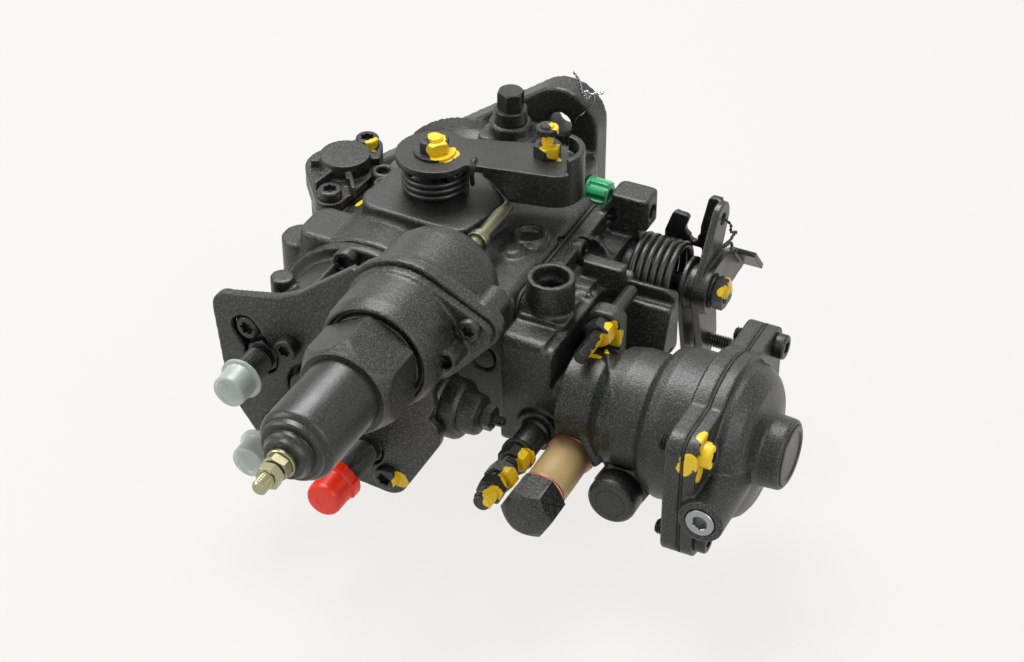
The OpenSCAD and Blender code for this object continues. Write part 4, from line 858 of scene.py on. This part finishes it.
inlet_rows = [(5.5, -10), (5.5, -0.1), (7.3, 0), (7.5, 0.2), (7.5, 1.3), (7.2, 1.5)]
inlet_rows += [(6.6, 1.8, GRIP), (6.5, 8.2, GRIP), (6.1, 9.4, GRIP), (5.6, 9.8), (5.2, 10)]
inlet_rows += [(4.4, 10), (4, 9.6), (4, 2)]
machined(
    "inlet_cap",
    [placed(turned(inlet_rows, sides=96), (57, -26, 30), ALONG_X)],
    "housing",
    "green_plastic",
    "inlet_plug",
)

# Throttle lever's spring and bolts

THROTTLE, LEVER_STOP = (0, -45, 12), (0, -38, -18)
machined(
    "throttle_coil",
    [placed(coil(15.5, 3, 6, 88, 110), THROTTLE, ALONG_X)],
    "housing",
    "black_steel",
    "throttle_spring",
)
lever_rows = [(3.9, 122), (7.2, 122), (7.4, 122.2), (7.4, 123), (3.9, 123.2)]
machined(
    "throttle_bolts",
    [
        placed(shank(4, 76, 122), THROTTLE, ALONG_X),
        placed(turned(lever_rows, ring=True), THROTTLE, ALONG_X),
        placed(nut(12, 123.1, 127.8, 3.7), THROTTLE, ALONG_X, 25),
        placed(threaded(4, 1.3, 121, 129), THROTTLE, ALONG_X),
        placed(threaded(3, 1.1, 113.5, 129), LEVER_STOP, ALONG_X),
        placed(nut(9, 113.5, 116, 2.8), LEVER_STOP, ALONG_X, 10),
    ],
    "throttle",
    "black_steel",
    "throttle_shaft",
)

# Adjusting screws on the governor cover

SPEED_X, SPEED_Z = 99, 25
tip_rows = [(3, 0), (3, 28.6), (2.8, 29.6), (2.2, 30.4), (1.2, 30.9), (0.2, 31)]
machined(
    "speed_bolt",
    [
        placed(turned(tip_rows, sides=40), (SPEED_X, -106, SPEED_Z), ALONG_Y),
        placed(threaded(3, 1.2, 0, 22), (SPEED_X, -104, SPEED_Z), BACK),
        placed(nut(10, 0, 6, 2.8), (SPEED_X, -104, SPEED_Z), BACK, 8),
    ],
    "housing",
    "black_steel",
    "speed_screw",
)
FULL = (83, -131, -13)
full_rows = [(6.6, 0), (6.6, 1), (5.8, 2), (5.8, 11.6), (5.2, 13.4), (4.2, 14), (3.9, 14), (3.9, 0)]
full_washer = [(3.9, 14), (6.9, 14), (7, 14.2), (7, 15.8), (6.8, 16), (3.9, 16)]
machined(
    "full_load_bolt",
    [
        placed(threaded(4, 1.4, -26, 47), FULL, BACK),
        placed(turned([(3.6, 46), (3.3, 47.6), (2.9, 48), (0.3, 48)], sides=32), FULL, BACK),
        placed(turned(full_rows, sides=72, ring=True), FULL, BACK),
        placed(turned(full_washer, ring=True), FULL, BACK),
        placed(nut(11, 16, 22, 3.7), FULL, BACK, 5),
        placed(nut(11, 27, 33, 3.7), FULL, BACK, 22),
        placed(nut(10, 35.5, 41, 3.7), FULL, BACK, 40),
    ],
    "housing",
    "black_steel",
    "full_load_screw",
)

# Overflow bolt, its sleeve and washers

OVERFLOW = (98.5, -131, -18.3)
bolt_rows = [(6, -18), (6, 27.4)] + [(8.6 + 0.6 * k, 27.5 + 0.25 * k, HEX) for k in range(5)]
bolt_rows += [(11 - 0.32 * k, 40.2 + 0.24 * k, HEX) for k in range(6)]
bolt_rows += [(8.8, 41.6), (8.2, 42.3), (7.6, 42.5), (1, 42.6)]
machined(
    "overflow_screw",
    [placed(turned(bolt_rows, 19, 96), OVERFLOW, BACK, 30)],
    "housing",
    "black_casting",
    "overflow_bolt",
)
sleeve_rows = [(6.05, 1.5), (8.5, 1.5), (8.8, 1.8)]
sleeve_rows += [(8.75 + 0.12 * math.sin(math.pi * k / 8), 2 + 3 * k) for k in range(8)]
sleeve_rows += [(8.8, 25.7), (8.5, 26), (6.05, 26)]
machined(
    "overflow_tube",
    [placed(turned(sleeve_rows, ring=True), OVERFLOW, BACK)],
    "housing",
    "tan_sleeve",
    "overflow_sleeve",
)
washer_rows = [(6.1, 0), (9.2, 0), (9.55, 0.4), (9.55, 1.1), (9.2, 1.5), (6.1, 1.5)]
washers = [
    placed(turned([(radius, low + h) for radius, h in washer_rows], ring=True), OVERFLOW, BACK)
    for low in (0, 26)
]
machined("overflow_washers", washers, "housing", "copper", "copper_washers")

# Plugs of the boost unit

center_rows = [(12, -4), (12, 0.2), (11.8, 0.5), (11.5, 0.6), (10.2, 0.6), (9.9, 0.3), (9.7, 0.05)]
machined(
    "boost_disc",
    [placed(turned(center_rows + [(0.5, 0.05)], sides=96), (183, -116, 0), ALONG_X)],
    "housing",
    "black_steel",
    "boost_center_plug",
)
port_rows = [(5.7, -8), (5.7, 0.1), (5.5, 0.4), (3.1, 0.4), (2.7, 0.1, KEY), (2.6, -3, KEY)]
machined(
    "boost_socket_plug",
    [placed(turned(port_rows, sides=96), (165.7, -164, -2.7), BACK)],
    "housing",
    "bare_steel",
    "boost_port_plug",
)
side_rows = [(6, -9), (6, -0.1)] + [(9.6 + 0.45 * k, 0.2 * k, HEX) for k in range(5)]
side_rows += [(11.5 - 0.36 * k, 4 + 0.25 * k, HEX) for k in range(5)]
side_rows += [(9.7, 5.3), (9.9, 5.8), (10, 6.4), (10, 12.6), (9.8, 13.6), (9.2, 14.5), (8.4, 15)]
side_rows += [(6.4, 15), (6.2, 14.8), (5.9, 14.8), (5.7, 15), (0.5, 15)]
machined(
    "boost_side_cap",
    [placed(turned(side_rows, 20, 96), (122.4, -132, -22.7), BACK, 30)],
    "housing",
    "black_casting",
    "boost_side_plug",
)

# Seal wires: a bright pair at the flange's upper hole, and a black one between the throttle lever's
# eye and the spring's tab

flange_loop = [(43.2, -12.6, 77.4), (45.1, -12.8, 75.5), (46.5, -13, 73), (47, -13, 69.8)]
flange_loop += [(48.4, -13.2, 67.3)]
flange_loop += [(50.7, -13.4, 66.9), (51.5, -13.6, 69.1), (49.7, -13.8, 70.5), (47.9, -13.6, 69.1)]
flange_loop += [(50.2, -13.4, 68.2), (52.9, -13.2, 69.9), (55.1, -13, 70), (57.1, -13, 71.2)]
flange_tail = [(50.6, -13, 69.5), (53, -13, 68.5), (52.1, -12.8, 64.6), (49.4, -12.6, 60.8)]
flange_tail += [(47.3, -12.6, 58.1), (43.9, -12.4, 53)]
flange_wires = [wire(flange_loop, 0.33, BACK, phase) for phase in (0, 0.5)]
flange_wires.append(wire(flange_tail, 0.36, BACK, 0, 9.0))
machined("flange_seal_wire", flange_wires, "housing", "bare_steel")
eye_wire = [(120, -30.5, 37.5), (122.8, -30.9, 36), (123.2, -33, 33.5), (124.2, -27.4, 31)]
eye_wire += [(123.6, -31.2, 30.8), (124.6, -35.5, 32), (123.4, -39.5, 31.8), (123.2, -42.5, 30.4)]
eye_wire += [(123.6, -38.5, 30.2), (124, -33.3, 29.3), (123.2, -29.8, 25.6), (124.2, -33.8, 24.3)]
eye_wire += [(123.4, -29.6, 24), (123, -26, 18.6)]
eye_wires = [wire(eye_wire, 0.34, ALONG_X, phase) for phase in (0, 0.5)]
machined("lever_seal_wire", eye_wires, "throttle", "black_steel")

# Floor, surround and lamps


def make_stage():
    """A pale floor under the object that keeps its soft shadow. The camera, glossy and refracted
    rays see part of it as the background's own colour."""
    low, reach = CAD_BOX[0][2] - 0.5 * MM, 6.0
    mesh = bpy.data.meshes.new("floor")
    corners = [(x * reach, y * reach, low) for x, y in ((-1, -1), (1, -1), (1, 1), (-1, 1))]
    mesh.from_pydata(corners, [], [(0, 1, 2, 3)])
    floor = bpy.data.objects.new("floor", mesh)
    bpy.context.scene.collection.objects.link(floor)
    material = bpy.data.materials.new("pale_paper")
    material.use_nodes = True
    tree = material.node_tree
    tree.nodes.clear()
    paper = add(tree, "ShaderNodeBsdfDiffuse", {"Color": srgb("e9e8e4")})
    glow = add(tree, "ShaderNodeEmission", {"Color": srgb("f5f3ef"), "Strength": 1.0})
    share = add(tree, "ShaderNodeMath", {0: seen(tree), 1: 0.9}, operation="MULTIPLY")
    both = add(
        tree,
        "ShaderNodeMixShader",
        {0: share.outputs[0], 1: paper.outputs[0], 2: glow.outputs[0]},
    )
    add(tree, "ShaderNodeOutputMaterial", {"Surface": both.outputs[0]})
    mesh.materials.append(material)


def seen(tree):
    """1 where the ray comes from the camera, a mirror-like surface or through a clear one."""
    path = add(tree, "ShaderNodeLightPath").outputs
    direct = {0: path["Is Camera Ray"], 1: path["Is Glossy Ray"]}
    either = add(tree, "ShaderNodeMath", direct, operation="MAXIMUM")
    through = {0: either.outputs[0], 1: path["Is Transmission Ray"]}
    return add(tree, "ShaderNodeMath", through, operation="MAXIMUM").outputs[0]


def make_world():
    """An even pale surround: it lights at a plain level and shows the background's colour."""
    world = bpy.data.worlds.new("studio")
    bpy.context.scene.world = world
    world.use_nodes = True
    tree = world.node_tree
    tree.nodes.clear()
    lit = add(tree, "ShaderNodeBackground", {"Color": srgb("ffffff"), "Strength": 0.3})
    shown = add(tree, "ShaderNodeBackground", {"Color": srgb("f6f4f0"), "Strength": 1.0})
    both = add(tree, "ShaderNodeMixShader", {0: seen(tree), 1: lit.outputs[0], 2: shown.outputs[0]})
    add(tree, "ShaderNodeOutputWorld", {"Surface": both.outputs[0]})


def lamp(name, place, power, width, height):
    """A soft box at place, in metres from the middle of the object, aimed at that middle."""
    data = bpy.data.lights.new(name, "AREA")
    data.shape, data.size, data.size_y, data.energy = "RECTANGLE", width, height, power
    made = bpy.data.objects.new(name, data)
    made.location = LOOKS_AT * MM + Vector(place)
    made.rotation_euler = (-Vector(place)).to_track_quat("-Z", "Y").to_euler()
    bpy.context.scene.collection.objects.link(made)


make_stage()
make_world()
lamp("soft_box_over", (-0.35, 0.3, 1.15), 19, 0.8, 0.6)
lamp("soft_box_left", (-0.95, -0.7, 0.6), 6, 0.5, 0.8)
lamp("soft_box_right", (0.95, -0.35, 0.7), 4, 0.4, 0.8)

bpy.context.scene.view_settings.view_transform = "Standard"
